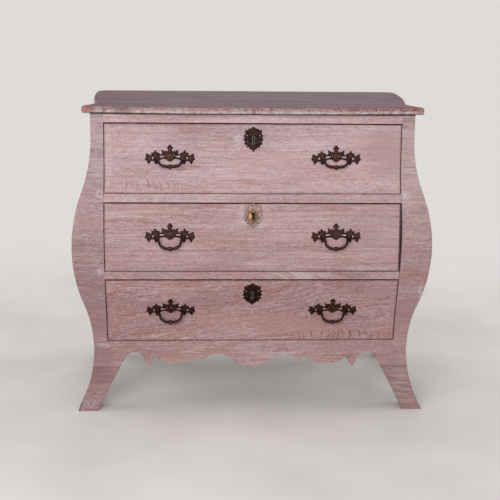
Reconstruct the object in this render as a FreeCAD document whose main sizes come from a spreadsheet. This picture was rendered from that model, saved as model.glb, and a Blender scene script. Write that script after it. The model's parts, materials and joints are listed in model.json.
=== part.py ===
import FreeCAD, Part
import math
import os
from collections import namedtuple
from types import SimpleNamespace
import Sketcher

# Bombe chest of three drawers.  Millimetres, +Z up, front towards -Y, X to the right.
# The origin is on the floor, under the middle of the whole chest.  "Depth" is counted
# backwards from the face plane, in which the front stands at the top of the chest.

DRIVING = (
    # the case as a whole
    ("total_height", 800),
    ("half_width", 412.5),        # of the case, where its sides are straight
    ("case_depth", 430),          # face plane to the back
    # the swelling curve, shared by the front and the two sides
    ("shoulder_drop", 80),        # top of the chest down to where the curve is straight
    ("belly_lift", 58),           # middle drawer's floor to the widest height
    ("belly_swell", 49),
    ("belly_radius_above", 425),
    ("belly_radius_below", 465),
    ("waist_height", 158),
    ("waist_proud", 2.5),
    ("foot_spread", 43),
    # heights of the front
    ("foot_joint", 110),          # top of the feet, underside of the aprons
    ("apron_top", 181),
    ("rail_height", 21),
    ("top_rail_height", 25),
    # frame
    ("stile_width", 32.5),
    ("stile_depth", 45),
    ("rear_stile_depth", 40),
    ("rear_stile_width", 40.5),
    ("rail_depth", 70),
    ("tenon_length", 12),
    ("tenon_setback", 6),
    ("tenon_depth", 28),
    ("tenon_shoulder", 5),
    ("panel_inset", 10),
    ("panel_thickness", 14),
    ("panel_groove", 8),
    ("apron_thickness", 30),
    ("side_apron_thickness", 25),
    ("rear_rail_thickness", 23),
    ("rear_rail_height", 40),
    ("base_rail_thickness", 25),
    ("base_rail_height", 53),
    ("back_board_thickness", 10),
    ("back_board_lap", 12),
    ("back_board_gap", 1),
    ("glue_block", 36),
    # legs and scalloped aprons, measured inwards from the corner of the case
    ("toe_inset", 8.5),
    ("spring_inset", 79.5),       # where the inner line of a leg meets its arch
    ("spring_height", 136),
    ("arch_span", 48.4),
    ("arch_rise", 12.4),
    ("pendant_inset", 141.5),
    ("pendant_height", 112.5),
    ("pendant_tip", 7),           # width of a pendant's rounded end
    ("pendant_round", 2.5),
    ("pendant_swell", 2.5),       # fullness of a pendant's side towards the lobe
    ("cusp_inset", 154.5),
    ("cusp_height", 138),
    ("side_lobe_span", 117),
    ("side_lobe_drop", 21),
    ("point_offset", 10),
    ("point_height", 126),
    ("point_tip", 4),
    ("point_round", 1.2),
    ("centre_lobe_half", 50),
    ("centre_lobe_height", 109),
    ("centre_shoulder_height", 129),
    ("centre_arch_rise", 16),
    ("rear_toe_depth", 50),
    ("rear_spring_depth", 62),
    # drawer running
    ("runner_height", 18),
    ("runner_width", 36),
    ("guide_thickness", 7),
    ("guide_height", 20),
    ("bottom_board_thickness", 10),
    ("stop_width", 40),
    ("stop_depth", 10),
    ("stop_height", 7),
    ("stop_inset", 180),          # stile to the middle of a stop
    ("stop_gap", 0.3),
    # top board
    ("top_thickness", 18),
    ("ear_overhang", 20),         # beside the case
    ("ear_front", 18),            # in front of the face plane
    ("ear_reach", 28.5),          # side of the case inwards to where an ear starts
    ("ear_notch", 4),
    ("ear_bow", 1.2),
    ("ear_nose", 12),
    ("ear_nose_bulge", 2.4),
    ("ear_hollow", 4),
    ("hump_overhang", 34),
    ("hump_offset", 70),
    ("nib_overhang", 28),         # of the dip between the two humps
    ("nib_half", 6),
    ("top_waist_inset", 10),      # inside the side of the case
    ("top_waist_depth", 84),
    ("top_back_overhang", 10),
    ("top_corner_radius", 34),
    ("top_upper_round", 8),
    ("top_lower_round", 4),
    # drawers
    ("front_thickness", 22),
    ("side_gap", 1.5),
    ("top_gap", 2.2),
    ("bottom_gap", 1),
    ("running_gap", 0.3),
    ("side_thickness", 12),
    ("side_drop", 8),             # drawer side below the top of its opening
    ("drawer_back_thickness", 10),
    ("drawer_back_drop", 14),
    ("drawer_room", 55),          # drawer's back to the back of the case
    ("drawer_bottom_thickness", 6),
    ("drawer_bottom_lift", 11),
    ("drawer_groove", 5),
    ("tail_length", 14),
    ("tail_root", 18),
    ("tail_tip", 25),
    ("tail_margin", 32),          # drawer edge to the middle of the outer dovetails
    # pulls
    ("plate_thickness", 2.5),
    ("plate_seat", 0.4),          # wood to the back of a casting
    ("pull_inset", 168),          # stile to the middle of a pull
    ("post_spread", 34),          # pull's middle to a post
    ("plate_reach", 63),
    ("plate_rise", 40),
    ("stand_off", 10),            # drawer face to the bail's pivot
    ("ball_radius", 4.6),
    ("boss_radius", 5.8),         # round of the plate behind a post
    ("shank_radius", 2.6),
    ("nut_size", 5.5),
    ("nut_thickness", 4),
    ("shank_tail", 2),
    ("bail_radius", 2),
    ("eye_clearance", 0.08),
    ("bail_side_gap", 0.5),
    ("bail_elbow", 3),
    ("pin_reach", 3),             # bail pin beyond the middle of its post
    ("knob_radius", 3.8),
    ("knob_tip", 6.5),            # middle of the knob to the end of its point
    ("knob_neck_radius", 2.8),
    ("knob_tip_radius", 0.4),
    ("pull_lift_top", 81),        # floor of the opening to the pivot of the bail
    ("pull_lift_middle", 86),
    ("pull_lift_bottom", 81),
    ("bail_drop_top", 14),
    ("bail_drop_middle", 22.5),
    ("bail_drop_bottom", 22.5),
    ("bail_corner_top", 8),
    ("bail_corner_middle", 15),
    ("bail_corner_bottom", 15),
    # locks
    ("key_drop_top", 42),         # top of the opening to the keyhole
    ("key_drop_middle", 33),
    ("key_drop_bottom", 44),
    ("escutcheon_half", 25),
    ("escutcheon_rise", 31),
    ("lock_half", 35),
    ("lock_drop", 22),            # keyhole to the lower edge of the lock
    ("lock_thickness", 12),
    ("lock_recess", 6),
    ("bolt_half", 10),
    ("bolt_thickness", 8),
    ("bolt_lift", 8),             # keyhole to the lower end of the bolt
    ("bolt_clearance", 0.2),
    ("bolt_throw", 8),
    ("mortise_clearance", 1),
    ("key_radius", 3),
    ("key_slot", 3),
    ("key_above", 5),
    ("key_below", 9),
)
LEVELS = ("bottom", "middle", "top")
BACK_BOARDS = 4
LEVEL_TOLERANCE = 0.001
PLANE_AXES = {"XY_Plane": 1, "YZ_Plane": 1, "XZ_Plane": -1}   # plane normal along +Z, +X, -Y

document = FreeCAD.newDocument("BombeChest")
sheet = document.addObject("Spreadsheet::Sheet", "Sizes")
worked = document.addObject("App::VarSet", "Worked")


class Size:
    """A length known both as a number and as an expression of the spreadsheet."""

    def __init__(self, value, text):
        self.value = float(value)
        self.text = text

    @staticmethod
    def of(other):
        return other if isinstance(other, Size) else Size(other, "(%r)" % float(other))

    def joined(self, other, sign, value):
        return Size(value, "(%s %s %s)" % (self.text, sign, Size.of(other).text))

    def __add__(self, other):
        return self.joined(other, "+", self.value + Size.of(other).value)

    def __sub__(self, other):
        return self.joined(other, "-", self.value - Size.of(other).value)

    def __mul__(self, other):
        return self.joined(other, "*", self.value * Size.of(other).value)

    def __truediv__(self, other):
        return self.joined(other, "/", self.value / Size.of(other).value)

    def __neg__(self):
        return Size(0, "0") - self

    def root(self):
        return Size(math.sqrt(self.value), "sqrt(%s)" % self.text)

    def squared(self):
        return Size(self.value ** 2, "(%s)^2" % self.text)


def fill_sheet():
    """Write the driving dimensions into the sheet and give them as sizes."""
    sizes = {}
    for row, (name, value) in enumerate(DRIVING, start=1):
        sheet.set("A%d" % row, name)
        sheet.set("B%d" % row, "%g" % value)
        sheet.setAlias("B%d" % row, name)
        sizes[name] = Size(value, "Sizes.%s" % name)
    document.recompute()
    return sizes


def work_out(name, size):
    """Keep a size that follows from others under a name of its own."""
    worked.addProperty("App::PropertyFloat", name, "Worked")
    worked.setExpression(name, size.text)
    return Size(size.value, "Worked.%s" % name)


# ------------------------------------------------------------------ drawing and building

Bend = namedtuple("Bend", "centre radius")      # the arc that leaves a corner
Corner = namedtuple("Corner", "x y bend")


def corner(x, y, bend=None):
    return Corner(Size.of(x), Size.of(y), bend)


def risen(start, end, rise):
    """Bend from start to end that stands out by rise to the left of the way (or -rise right)."""
    run_x = end[0] - start[0]
    run_y = end[1] - start[1]
    chord = (run_x.squared() + run_y.squared()).root()
    radius = ((chord / 2).squared() + rise.squared()) / (rise * 2)
    inward = (radius.value - rise.value) / chord.value
    centre = (
        (start[0].value + end[0].value) / 2 + run_y.value * inward,
        (start[1].value + end[1].value) / 2 - run_x.value * inward,
    )
    if radius.value < 0:
        radius = -radius
    return Bend(centre, radius)


def eased(crown, end, axis):
    """Bend between two places that runs along the first (0) or second (1) axis at the crown."""
    runs = [far - near for near, far in zip(crown, end)]
    radius = (runs[0].squared() + runs[1].squared()) / (runs[1 - axis] * 2)
    centre = [place.value for place in crown]
    centre[1 - axis] += radius.value
    if radius.value < 0:
        radius = -radius
    return Bend(tuple(centre), radius)


def draw(sketch, corners, closed=True):
    """Add an outline or an open path, with every corner and radius tied to the sheet."""
    first = sketch.GeometryCount
    heads = []
    ends = corners[1:] + corners[:1] if closed else corners[1:]
    for here, there in zip(corners, ends):
        start = FreeCAD.Vector(here.x.value, here.y.value, 0)
        end = FreeCAD.Vector(there.x.value, there.y.value, 0)
        if here.bend is None:
            sketch.addGeometry(Part.LineSegment(start, end))
            heads.append(1)
            continue
        centre = FreeCAD.Vector(here.bend.centre[0], here.bend.centre[1], 0)
        circle = Part.Circle(centre, FreeCAD.Vector(0, 0, 1), here.bend.radius.value)
        turns = [math.atan2(point.y - centre.y, point.x - centre.x) for point in (start, end)]
        anticlockwise = (start - centre).cross(end - centre).z > 0
        if not anticlockwise:
            turns.reverse()
        sketch.addGeometry(Part.ArcOfCircle(circle, *turns))
        heads.append(1 if anticlockwise else 2)
    for index, (here, head) in enumerate(zip(corners, heads)):
        edge = first + index
        following = (index + 1) % len(heads)
        if closed or following:
            sketch.addConstraint(Sketcher.Constraint(
                "Coincident", edge, 3 - head, first + following, heads[following]))
        tie_point(sketch, edge, head, here)
        if here.bend is not None:
            tie(sketch, ("Radius", edge), here.bend.radius)
    if not closed:
        tie_point(sketch, edge, 3 - head, corners[-1])


def tie(sketch, terms, size):
    index = sketch.addConstraint(Sketcher.Constraint(*terms, size.value))
    sketch.setExpression("Constraints[%d]" % index, size.text)


def tie_point(sketch, edge, end, place):
    tie(sketch, ("DistanceX", -1, 1, edge, end), place.x)
    tie(sketch, ("DistanceY", -1, 1, edge, end), place.y)


def place_sketch(body, role, offset, name):
    """Sketch on one of the body's own planes, moved along the axis it faces to offset."""
    sketch = body.newObject("Sketcher::SketchObject", name)
    plane = next(item for item in body.Origin.OriginFeatures if item.Role == role)
    sketch.AttachmentSupport = [(plane, "")]
    sketch.MapMode = "FlatFace"
    along = offset * PLANE_AXES[role]
    sketch.AttachmentOffset = FreeCAD.Placement(FreeCAD.Vector(0, 0, along.value), FreeCAD.Rotation())
    sketch.setExpression("AttachmentOffset.Base.z", along.text)
    return sketch


def slab(label, role, outlines, start, end):
    """Body with the outlines padded from start to end along the axis across their plane."""
    body = document.addObject("PartDesign::Body", label)
    sketch = place_sketch(body, role, start, label + "_outline")
    for outline in outlines:
        draw(sketch, outline)
    pad = body.newObject("PartDesign::Pad", label + "_pad")
    pad.Profile = sketch
    pad.Reversed = PLANE_AXES[role] < 0
    pad.Length = (end - start).value
    pad.setExpression("Length", (end - start).text)
    return body


def set_base(item, base):
    for axis, size in zip("xyz", base):
        item.setExpression("Placement.Base.%s" % axis, size.text)


def block(label, x_range, y_range, z_range):
    box = document.addObject("Part::Box", label)
    for side, (low, high) in zip(("Length", "Width", "Height"), (x_range, y_range, z_range)):
        box.setExpression(side, (high - low).text)
    set_base(box, (x_range[0], y_range[0], z_range[0]))
    return box


def rod(label, radius, start, length, turn):
    """Cylinder from start, along +X or +Y as turn says."""
    cylinder = document.addObject("Part::Cylinder", label)
    cylinder.setExpression("Radius", radius.text)
    cylinder.setExpression("Height", length.text)
    cylinder.Placement = FreeCAD.Placement(FreeCAD.Vector(), turn)
    set_base(cylinder, start)
    return cylinder


ALONG_X = FreeCAD.Rotation(FreeCAD.Vector(0, 1, 0), 90)
ALONG_Y = FreeCAD.Rotation(FreeCAD.Vector(1, 0, 0), -90)
DOWNWARDS = FreeCAD.Rotation(FreeCAD.Vector(1, 0, 0), 180)


def fuse(label, *items):
    whole = document.addObject("Part::MultiFuse", label)
    whole.Shapes = list(items)
    return whole


def common(label, *items):
    shared = document.addObject("Part::MultiCommon", label)
    shared.Shapes = list(items)
    return shared


def group(label, *items):
    together = document.addObject("Part::Compound", label)
    together.Links = list(items)
    return together


def cut(label, item, *tools):
    rest = document.addObject("Part::Cut", label)
    rest.Base = item
    rest.Tool = tools[0] if len(tools) == 1 else group(label + "_tools", *tools)
    return rest


def mirrored(label, item):
    """The same piece on the other side of the chest."""
    other = document.addObject("Part::Mirroring", label)
    other.Source = item
    other.Normal = FreeCAD.Vector(1, 0, 0)
    return other


# ------------------------------------------------------------------ sizes that follow

s = SimpleNamespace(**fill_sheet())

case_top = work_out("case_top", s.total_height - s.top_thickness)
opening_half = work_out("opening_half", s.half_width - s.stile_width)
rear_opening_half = work_out("rear_opening_half", s.half_width - s.rear_stile_width)
pull_spread = work_out("pull_spread", opening_half - s.pull_inset)
opening_height = work_out(
    "opening_height",
    (case_top - s.top_rail_height - s.apron_top - s.rail_height * (len(LEVELS) - 1)) / len(LEVELS))
opening_floors = [
    work_out("opening_floor_" + level, s.apron_top + (opening_height + s.rail_height) * index)
    for index, level in enumerate(LEVELS)
]
opening_tops = [
    work_out("opening_top_" + level, floor + opening_height)
    for floor, level in zip(opening_floors, LEVELS)
]

# The side curve, from the floor up: foot, waist, lower belly, upper belly, shoulder, straight.
# Each arc leaves its upright end with the tangent upright, and neighbours meet tangent.
curve_start = work_out("curve_start", s.total_height - s.shoulder_drop)
belly_height = work_out("belly_height", opening_floors[1] + s.belly_lift)
belly_above = curve_start - belly_height
belly_below = belly_height - s.waist_height
low_swell = s.belly_swell - s.waist_proud
foot_flare = s.foot_spread - s.waist_proud
shoulder_radius = work_out(
    "shoulder_radius",
    (belly_above.squared() + s.belly_swell.squared()) / (s.belly_swell * 2) - s.belly_radius_above)
waist_radius = work_out(
    "waist_radius",
    (belly_below.squared() + low_swell.squared()) / (low_swell * 2) - s.belly_radius_below)
foot_radius = work_out(
    "foot_radius",
    (s.waist_height.squared() + foot_flare.squared()) / (foot_flare * 2))
shoulder_end = work_out(
    "shoulder_end",
    curve_start - belly_above * shoulder_radius / (shoulder_radius + s.belly_radius_above))
waist_end = work_out(
    "waist_end",
    s.waist_height + belly_below * waist_radius / (waist_radius + s.belly_radius_below))

Arc = namedtuple("Arc", "low high centre_proud centre_height radius side")
FLOOR = Size(0, "0")
SIDE_CURVE = (
    Arc(FLOOR, s.waist_height, s.waist_proud + foot_radius, s.waist_height, foot_radius, -1),
    Arc(s.waist_height, waist_end, s.waist_proud + waist_radius, s.waist_height, waist_radius, -1),
    Arc(waist_end, belly_height, s.belly_swell - s.belly_radius_below, belly_height,
        s.belly_radius_below, 1),
    Arc(belly_height, shoulder_end, s.belly_swell - s.belly_radius_above, belly_height,
        s.belly_radius_above, 1),
    Arc(shoulder_end, curve_start, shoulder_radius, curve_start, shoulder_radius, -1),
)


def arc_at(height):
    """The arc of the side curve at a height, or None on the straight part."""
    for arc in SIDE_CURVE:
        if arc.low.value <= height < arc.high.value:
            return arc
    return None


def proud(height):
    """How far the side curve stands out of the straight part at a height."""
    arc = arc_at(height.value)
    if arc is None:
        return FLOOR
    across = (arc.radius.squared() - (height - arc.centre_height).squared()).root()
    return arc.centre_proud + across * arc.side


def side_curve(start, end, place):
    """Corners along the side curve from one height to another; place(proud, height) puts them."""
    low, high = sorted((start.value, end.value))
    breaks = [arc.high for arc in SIDE_CURVE if low < arc.high.value < high]
    if start.value > end.value:
        breaks.reverse()
    heights = [start] + breaks + [end]
    corners = []
    for here, there in zip(heights, heights[1:]):
        arc = arc_at((here.value + there.value) / 2)
        bend = None
        if arc is not None:
            centre = place(arc.centre_proud, arc.centre_height)
            bend = Bend((centre[0].value, centre[1].value), arc.radius)
        corners.append(corner(*place(proud(here), here), bend))
    return corners + [corner(*place(proud(end), end))]


# The middle pulls reach furthest forward and the top board furthest back, and the origin is
# midway between them.
furthest_pull = opening_floors[1] + s.pull_lift_middle
front_reach = work_out("front_reach", proud(furthest_pull) + s.stand_off + s.ball_radius)
face = work_out("face", (front_reach - s.case_depth - s.top_back_overhang) / 2)
case_back = work_out("case_back", face + s.case_depth)
stile_back = work_out("stile_back", face + s.stile_depth)
rail_back = work_out("rail_back", face + s.rail_depth)
apron_back = work_out("apron_back", face + s.apron_thickness)
rear_stile_front = work_out("rear_stile_front", case_back - s.rear_stile_depth)
base_rail_front = work_out("base_rail_front", case_back - s.base_rail_thickness)
board_front = work_out("board_front", case_back - s.back_board_thickness)
side_apron_inside = work_out("side_apron_inside", s.half_width - s.side_apron_thickness)
board_low = work_out("board_low", s.apron_top - s.runner_height - s.bottom_board_thickness)
runner_inside = work_out("runner_inside", opening_half + s.guide_thickness - s.runner_width)
drawer_back = work_out("drawer_back", case_back - s.drawer_room)
drawer_outside = work_out("drawer_outside", opening_half - s.side_gap)
drawer_inside = work_out("drawer_inside", drawer_outside - s.side_thickness)

# Planes safely outside the chest, from which outlines are padded into it.
clear_front = work_out("clear_front", face - s.belly_swell - s.foot_spread)
clear_side = work_out("clear_side", s.half_width + s.belly_swell + s.foot_spread)


def at_side(shift=FLOOR):
    """Place for the side curve in the front view, right side, set in by shift."""
    return lambda out, height: (s.half_width + out - shift, height)


def at_front(shift=FLOOR):
    """Place for the side curve in the side view, front side, set back by shift."""
    return lambda out, height: (face - out + shift, height)


pieces = []


def piece(item):
    """Count an object of the document as a sub-part, which is written to a file of its own."""
    pieces.append(item)
    return item


def pair(name, item):
    """A right-hand sub-part and its mirror image on the left."""
    item.Label = name + "_right"
    piece(item)
    return item, piece(mirrored(name + "_left", item))


# ------------------------------------------------------------------ the frame

def side_panel():
    """Panel sawn to the side curve, let into the front and the rear stile."""
    outside = side_curve(s.apron_top, case_top, at_side(s.panel_inset))
    inside = side_curve(case_top, s.apron_top, at_side(s.panel_inset + s.panel_thickness))
    return slab("side_panel", "XZ_Plane", [outside + inside],
                stile_back - s.panel_groove, rear_stile_front + s.panel_groove)


def front_section(label, low, high, back, half):
    """Bar across the front whose face follows the side curve."""
    outline = side_curve(low, high, at_front()) + [corner(back, high), corner(back, low)]
    return slab(label, "YZ_Plane", [outline], -half, half)


def tenon(label, half, low, high, front, depth):
    """Right-hand tenon of a rail that ends at half."""
    return block(label, (half, half + s.tenon_length), (front, front + depth),
                 (low + s.tenon_shoulder, high - s.tenon_shoulder))


def front_rail(name, low, high):
    bar = front_section(name + "_bar", low, high, rail_back, opening_half)
    right = tenon(name + "_tenon", opening_half, low, high, face + s.tenon_setback, s.tenon_depth)
    return fuse(name + "_blank", bar, right, mirrored(name + "_tenon_left", right)), right


def front_stile(panel, tenons):
    outline = [corner(opening_half, case_top), corner(opening_half, s.apron_top)]
    outline += side_curve(s.apron_top, case_top, at_side())
    front_view = slab("front_stile_width", "XZ_Plane", [outline], clear_front, stile_back)
    section = side_curve(s.apron_top, case_top, at_front())
    section += [corner(stile_back, case_top), corner(stile_back, s.apron_top)]
    side_view = slab("front_stile_depth", "YZ_Plane", [section], opening_half, clear_side)
    blank = common("front_stile_blank", front_view, side_view)
    return cut("front_stile", blank, panel, *tenons)


def rear_stile(panel, tenons):
    outline = [corner(rear_opening_half, case_top), corner(rear_opening_half, s.apron_top)]
    outline += side_curve(s.apron_top, case_top, at_side())
    blank = slab("rear_stile_blank", "XZ_Plane", [outline], rear_stile_front, case_back)
    rebate = block("rear_stile_rebate",
                   (rear_opening_half, rear_opening_half + s.back_board_lap),
                   (board_front, case_back), (s.apron_top, case_top))
    return cut("rear_stile", blank, panel, rebate, *tenons)


def rear_rails():
    """Top rail between the rear stiles and base rail between the side aprons."""
    low = case_top - s.rear_rail_height
    back = board_front
    front = back - s.rear_rail_thickness
    bar = block("rear_rail_bar", (-rear_opening_half, rear_opening_half), (front, back),
                (low, case_top))
    right = tenon("rear_rail_tenon", rear_opening_half, low, case_top,
                  front + s.tenon_shoulder, s.rear_rail_thickness - s.tenon_shoulder * 2)
    top = fuse("rear_top_rail", bar, right, mirrored("rear_rail_tenon_left", right))
    base = block("rear_base_rail", (-side_apron_inside, side_apron_inside),
                 (base_rail_front, case_back), (s.apron_top - s.base_rail_height, s.apron_top))
    return piece(group("rear_rails", top, base)), right


def back_boards():
    """Upright boards side by side in the rebates of the rear stiles."""
    half = rear_opening_half + s.back_board_lap
    pitch = (half * 2 + s.back_board_gap) / BACK_BOARDS
    boards = []
    for index in range(BACK_BOARDS):
        left = pitch * index - half
        boards.append(block("back_board_%d" % (index + 1), (left, left + pitch - s.back_board_gap),
                            (board_front, case_back), (s.apron_top, case_top)))
    return piece(group("back_boards", *boards))


# ------------------------------------------------------------------ aprons and feet

def leg_line(height, toe, spring):
    """Inset of a leg's straight inner line at a height, between its toe and its spring."""
    return toe + (spring - toe) * height / s.spring_height


def scallop(place, hand):
    """Corners from a leg to the point beside the centre, for an apron's lower edge.

    place(inset, height) puts a corner; hand is 1 where the way runs against the plane's first
    axis and -1 where it runs along it, so that every arch and lobe keeps its side.
    """
    spring = place(s.spring_inset, s.spring_height)
    landing = place(s.spring_inset + s.arch_span, s.spring_height)
    near_tip = place(s.pendant_inset - s.pendant_tip / 2, s.pendant_height)
    far_tip = place(s.pendant_inset + s.pendant_tip / 2, s.pendant_height)
    cusp = place(s.cusp_inset, s.cusp_height)
    far_cusp = place(s.cusp_inset + s.side_lobe_span, s.cusp_height)
    return [
        corner(*spring, risen(spring, landing, s.arch_rise * -hand)),
        corner(*landing),
        corner(*near_tip, risen(near_tip, far_tip, s.pendant_round * hand)),
        corner(*far_tip, risen(far_tip, cusp, s.pendant_swell * hand)),
        corner(*cusp, risen(cusp, far_cusp, s.side_lobe_drop * hand)),
    ], far_cusp


def front_apron():
    """Scalloped board across the front with the tops of both front legs."""
    def right_place(inset, height):
        return s.half_width - inset, height

    foot_inset = leg_line(s.foot_joint, s.toe_inset, s.spring_inset)
    right = side_curve(s.apron_top, s.foot_joint, at_side())
    right.append(corner(*right_place(foot_inset, s.foot_joint)))
    edge, far_cusp = scallop(right_place, 1)
    near_point = (far_cusp[0] - s.point_offset + s.point_tip / 2, s.point_height)
    far_point = (far_cusp[0] - s.point_offset - s.point_tip / 2, s.point_height)
    shoulder = (s.centre_lobe_half, s.centre_shoulder_height)
    opposite = (-s.centre_lobe_half, s.centre_shoulder_height)
    lobe_drop = s.centre_shoulder_height - s.centre_lobe_height
    right += edge + [
        corner(*far_cusp),
        corner(*near_point, risen(near_point, far_point, s.point_round)),
        corner(*far_point, risen(far_point, shoulder, -s.centre_arch_rise)),
        corner(*shoulder, risen(shoulder, opposite, lobe_drop)),
    ]
    outline = right + reflected(right)
    front_view = slab("front_apron_shape", "XZ_Plane", [outline], clear_front, apron_back)
    blank = front_section("front_apron_section", FLOOR, s.apron_top, apron_back, clear_side)
    return piece(common("front_apron", front_view, blank))


def reflected(corners):
    """The same corners on the other side of the middle, met in the opposite order."""
    others = []
    for index in range(len(corners) - 1, -1, -1):
        bend = corners[index - 1].bend if index else None
        if bend is not None:
            bend = Bend((-bend.centre[0], bend.centre[1]), bend.radius)
        others.append(corner(-corners[index].x, corners[index].y, bend))
    return others


def side_apron():
    """Scalloped board from the front apron to the back, with a front and a rear leg top."""
    def front_place(inset, height):
        return face + inset, height

    foot_inset = leg_line(s.foot_joint, s.toe_inset, s.spring_inset)
    rear_depth = leg_line(s.foot_joint, s.rear_toe_depth, s.rear_spring_depth)
    rear_spring = (case_back - s.rear_spring_depth, s.spring_height)
    rear_landing = (rear_spring[0] - s.arch_span, s.spring_height)
    rear_pendant = case_back - s.rear_spring_depth - s.pendant_inset + s.spring_inset
    rear_far_tip = (rear_pendant - s.pendant_tip / 2, s.pendant_height)
    rear_near_tip = (rear_pendant + s.pendant_tip / 2, s.pendant_height)
    rear_cusp = (rear_pendant - s.cusp_inset + s.pendant_inset, s.cusp_height)
    edge, _ = scallop(front_place, -1)
    cusp = (edge[-1].x, edge[-1].y)
    edge[-1] = corner(*cusp, risen(cusp, rear_cusp, -s.side_lobe_drop))
    outline = [
        corner(apron_back, s.apron_top),
        corner(apron_back, s.foot_joint),
        corner(face + foot_inset, s.foot_joint),
    ] + edge + [
        corner(*rear_cusp, risen(rear_cusp, rear_far_tip, -s.pendant_swell)),
        corner(*rear_far_tip, risen(rear_far_tip, rear_near_tip, -s.pendant_round)),
        corner(*rear_near_tip),
        corner(*rear_landing, risen(rear_landing, rear_spring, s.arch_rise)),
        corner(*rear_spring),
        corner(case_back - rear_depth, s.foot_joint),
        corner(case_back, s.foot_joint),
        corner(case_back, s.apron_top),
    ]
    side_view = slab("side_apron_shape", "YZ_Plane", [outline], side_apron_inside, clear_side)
    section = side_curve(FLOOR, s.apron_top, at_side())
    section += [corner(side_apron_inside, s.apron_top), corner(side_apron_inside, FLOOR)]
    blank = slab("side_apron_section", "XZ_Plane", [section], apron_back, case_back)
    return common("side_apron", side_view, blank)


def foot_width(name, front, back):
    """Front view of a right-hand foot: splayed outer curve and straight inner line."""
    top_inset = leg_line(s.foot_joint, s.toe_inset, s.spring_inset)
    outline = side_curve(FLOOR, s.foot_joint, at_side()) + [
        corner(s.half_width - top_inset, s.foot_joint),
        corner(s.half_width - s.toe_inset, FLOOR),
    ]
    return slab(name + "_width", "XZ_Plane", [outline], front, back)


def front_foot():
    top_inset = leg_line(s.foot_joint, s.toe_inset, s.spring_inset)
    outline = side_curve(FLOOR, s.foot_joint, at_front()) + [
        corner(face + top_inset, s.foot_joint),
        corner(face + s.toe_inset, FLOOR),
    ]
    side_view = slab("front_foot_depth", "YZ_Plane", [outline], FLOOR, clear_side)
    front_view = foot_width("front_foot", clear_front, face + s.spring_inset)
    return common("front_foot", front_view, side_view)


def rear_foot():
    top_depth = leg_line(s.foot_joint, s.rear_toe_depth, s.rear_spring_depth)
    outline = [
        corner(case_back, FLOOR),
        corner(case_back, s.foot_joint),
        corner(case_back - top_depth, s.foot_joint),
        corner(case_back - s.rear_toe_depth, FLOOR),
    ]
    side_view = slab("rear_foot_depth", "YZ_Plane", [outline], FLOOR, clear_side)
    front_view = foot_width("rear_foot", case_back - s.rear_spring_depth * 2, case_back)
    return common("rear_foot", front_view, side_view)


def glue_blocks():
    """Square blocks in the four corners of the base, under the bottom board."""
    x_range = (side_apron_inside - s.glue_block, side_apron_inside)
    z_range = (s.foot_joint, board_low)
    front = block("glue_block_front", x_range, (apron_back, apron_back + s.glue_block), z_range)
    rear = block("glue_block_rear", x_range, (base_rail_front - s.glue_block, base_rail_front),
                 z_range)
    return piece(group("glue_blocks", front, mirrored("glue_block_front_left", front),
                       rear, mirrored("glue_block_rear_left", rear)))


# ------------------------------------------------------------------ inside the case

def bottom_board():
    return piece(block("bottom_board", (-side_apron_inside, side_apron_inside),
                       (apron_back, base_rail_front),
                       (board_low, board_low + s.bottom_board_thickness)))


def drawer_runners():
    """Strips under the drawer sides, and the same strips over the top drawer as kickers."""
    x_range = (runner_inside, runner_inside + s.runner_width)
    strips = []
    for level, floor in zip(LEVELS, opening_floors):
        lowest = floor is opening_floors[0]
        y_range = (apron_back, base_rail_front) if lowest else (rail_back, rear_stile_front)
        strips.append(block("runner_" + level, x_range, y_range, (floor - s.runner_height, floor)))
    kicker_low = opening_tops[-1]
    strips.append(block("kicker", x_range, (rail_back, rear_stile_front),
                        (kicker_low, kicker_low + s.runner_height)))
    strips += [mirrored(strip.Label + "_left", strip) for strip in list(strips)]
    return piece(group("drawer_runners", *strips))


def drawer_guides():
    """Strips on the runners that keep the drawers square."""
    x_range = (opening_half, opening_half + s.guide_thickness)
    guides = []
    for level, floor in zip(LEVELS, opening_floors):
        guide = block("guide_" + level, x_range, (rail_back, rear_stile_front),
                      (floor, floor + s.guide_height))
        guides += [guide, mirrored("guide_%s_left" % level, guide)]
    return piece(group("drawer_guides", *guides))


def rearmost_inside(low, high):
    """The back of a drawer front's inner face between two heights near each other."""
    least_proud = min(proud(low), proud(high), key=lambda out: out.value)
    return face - least_proud + s.front_thickness


def drawer_stops():
    """Blocks on the rails that stop a drawer when its front is flush."""
    middle = opening_half - s.stop_inset
    x_range = (middle - s.stop_width / 2, middle + s.stop_width / 2)
    stops = []
    for level, floor in zip(LEVELS, opening_floors):
        front = rearmost_inside(floor, floor + s.stop_height) + s.stop_gap
        stop = block("stop_" + level, x_range, (front, front + s.stop_depth),
                     (floor, floor + s.stop_height))
        stops += [stop, mirrored("stop_%s_left" % level, stop)]
    return piece(group("drawer_stops", *stops))


# ------------------------------------------------------------------ top board

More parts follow.
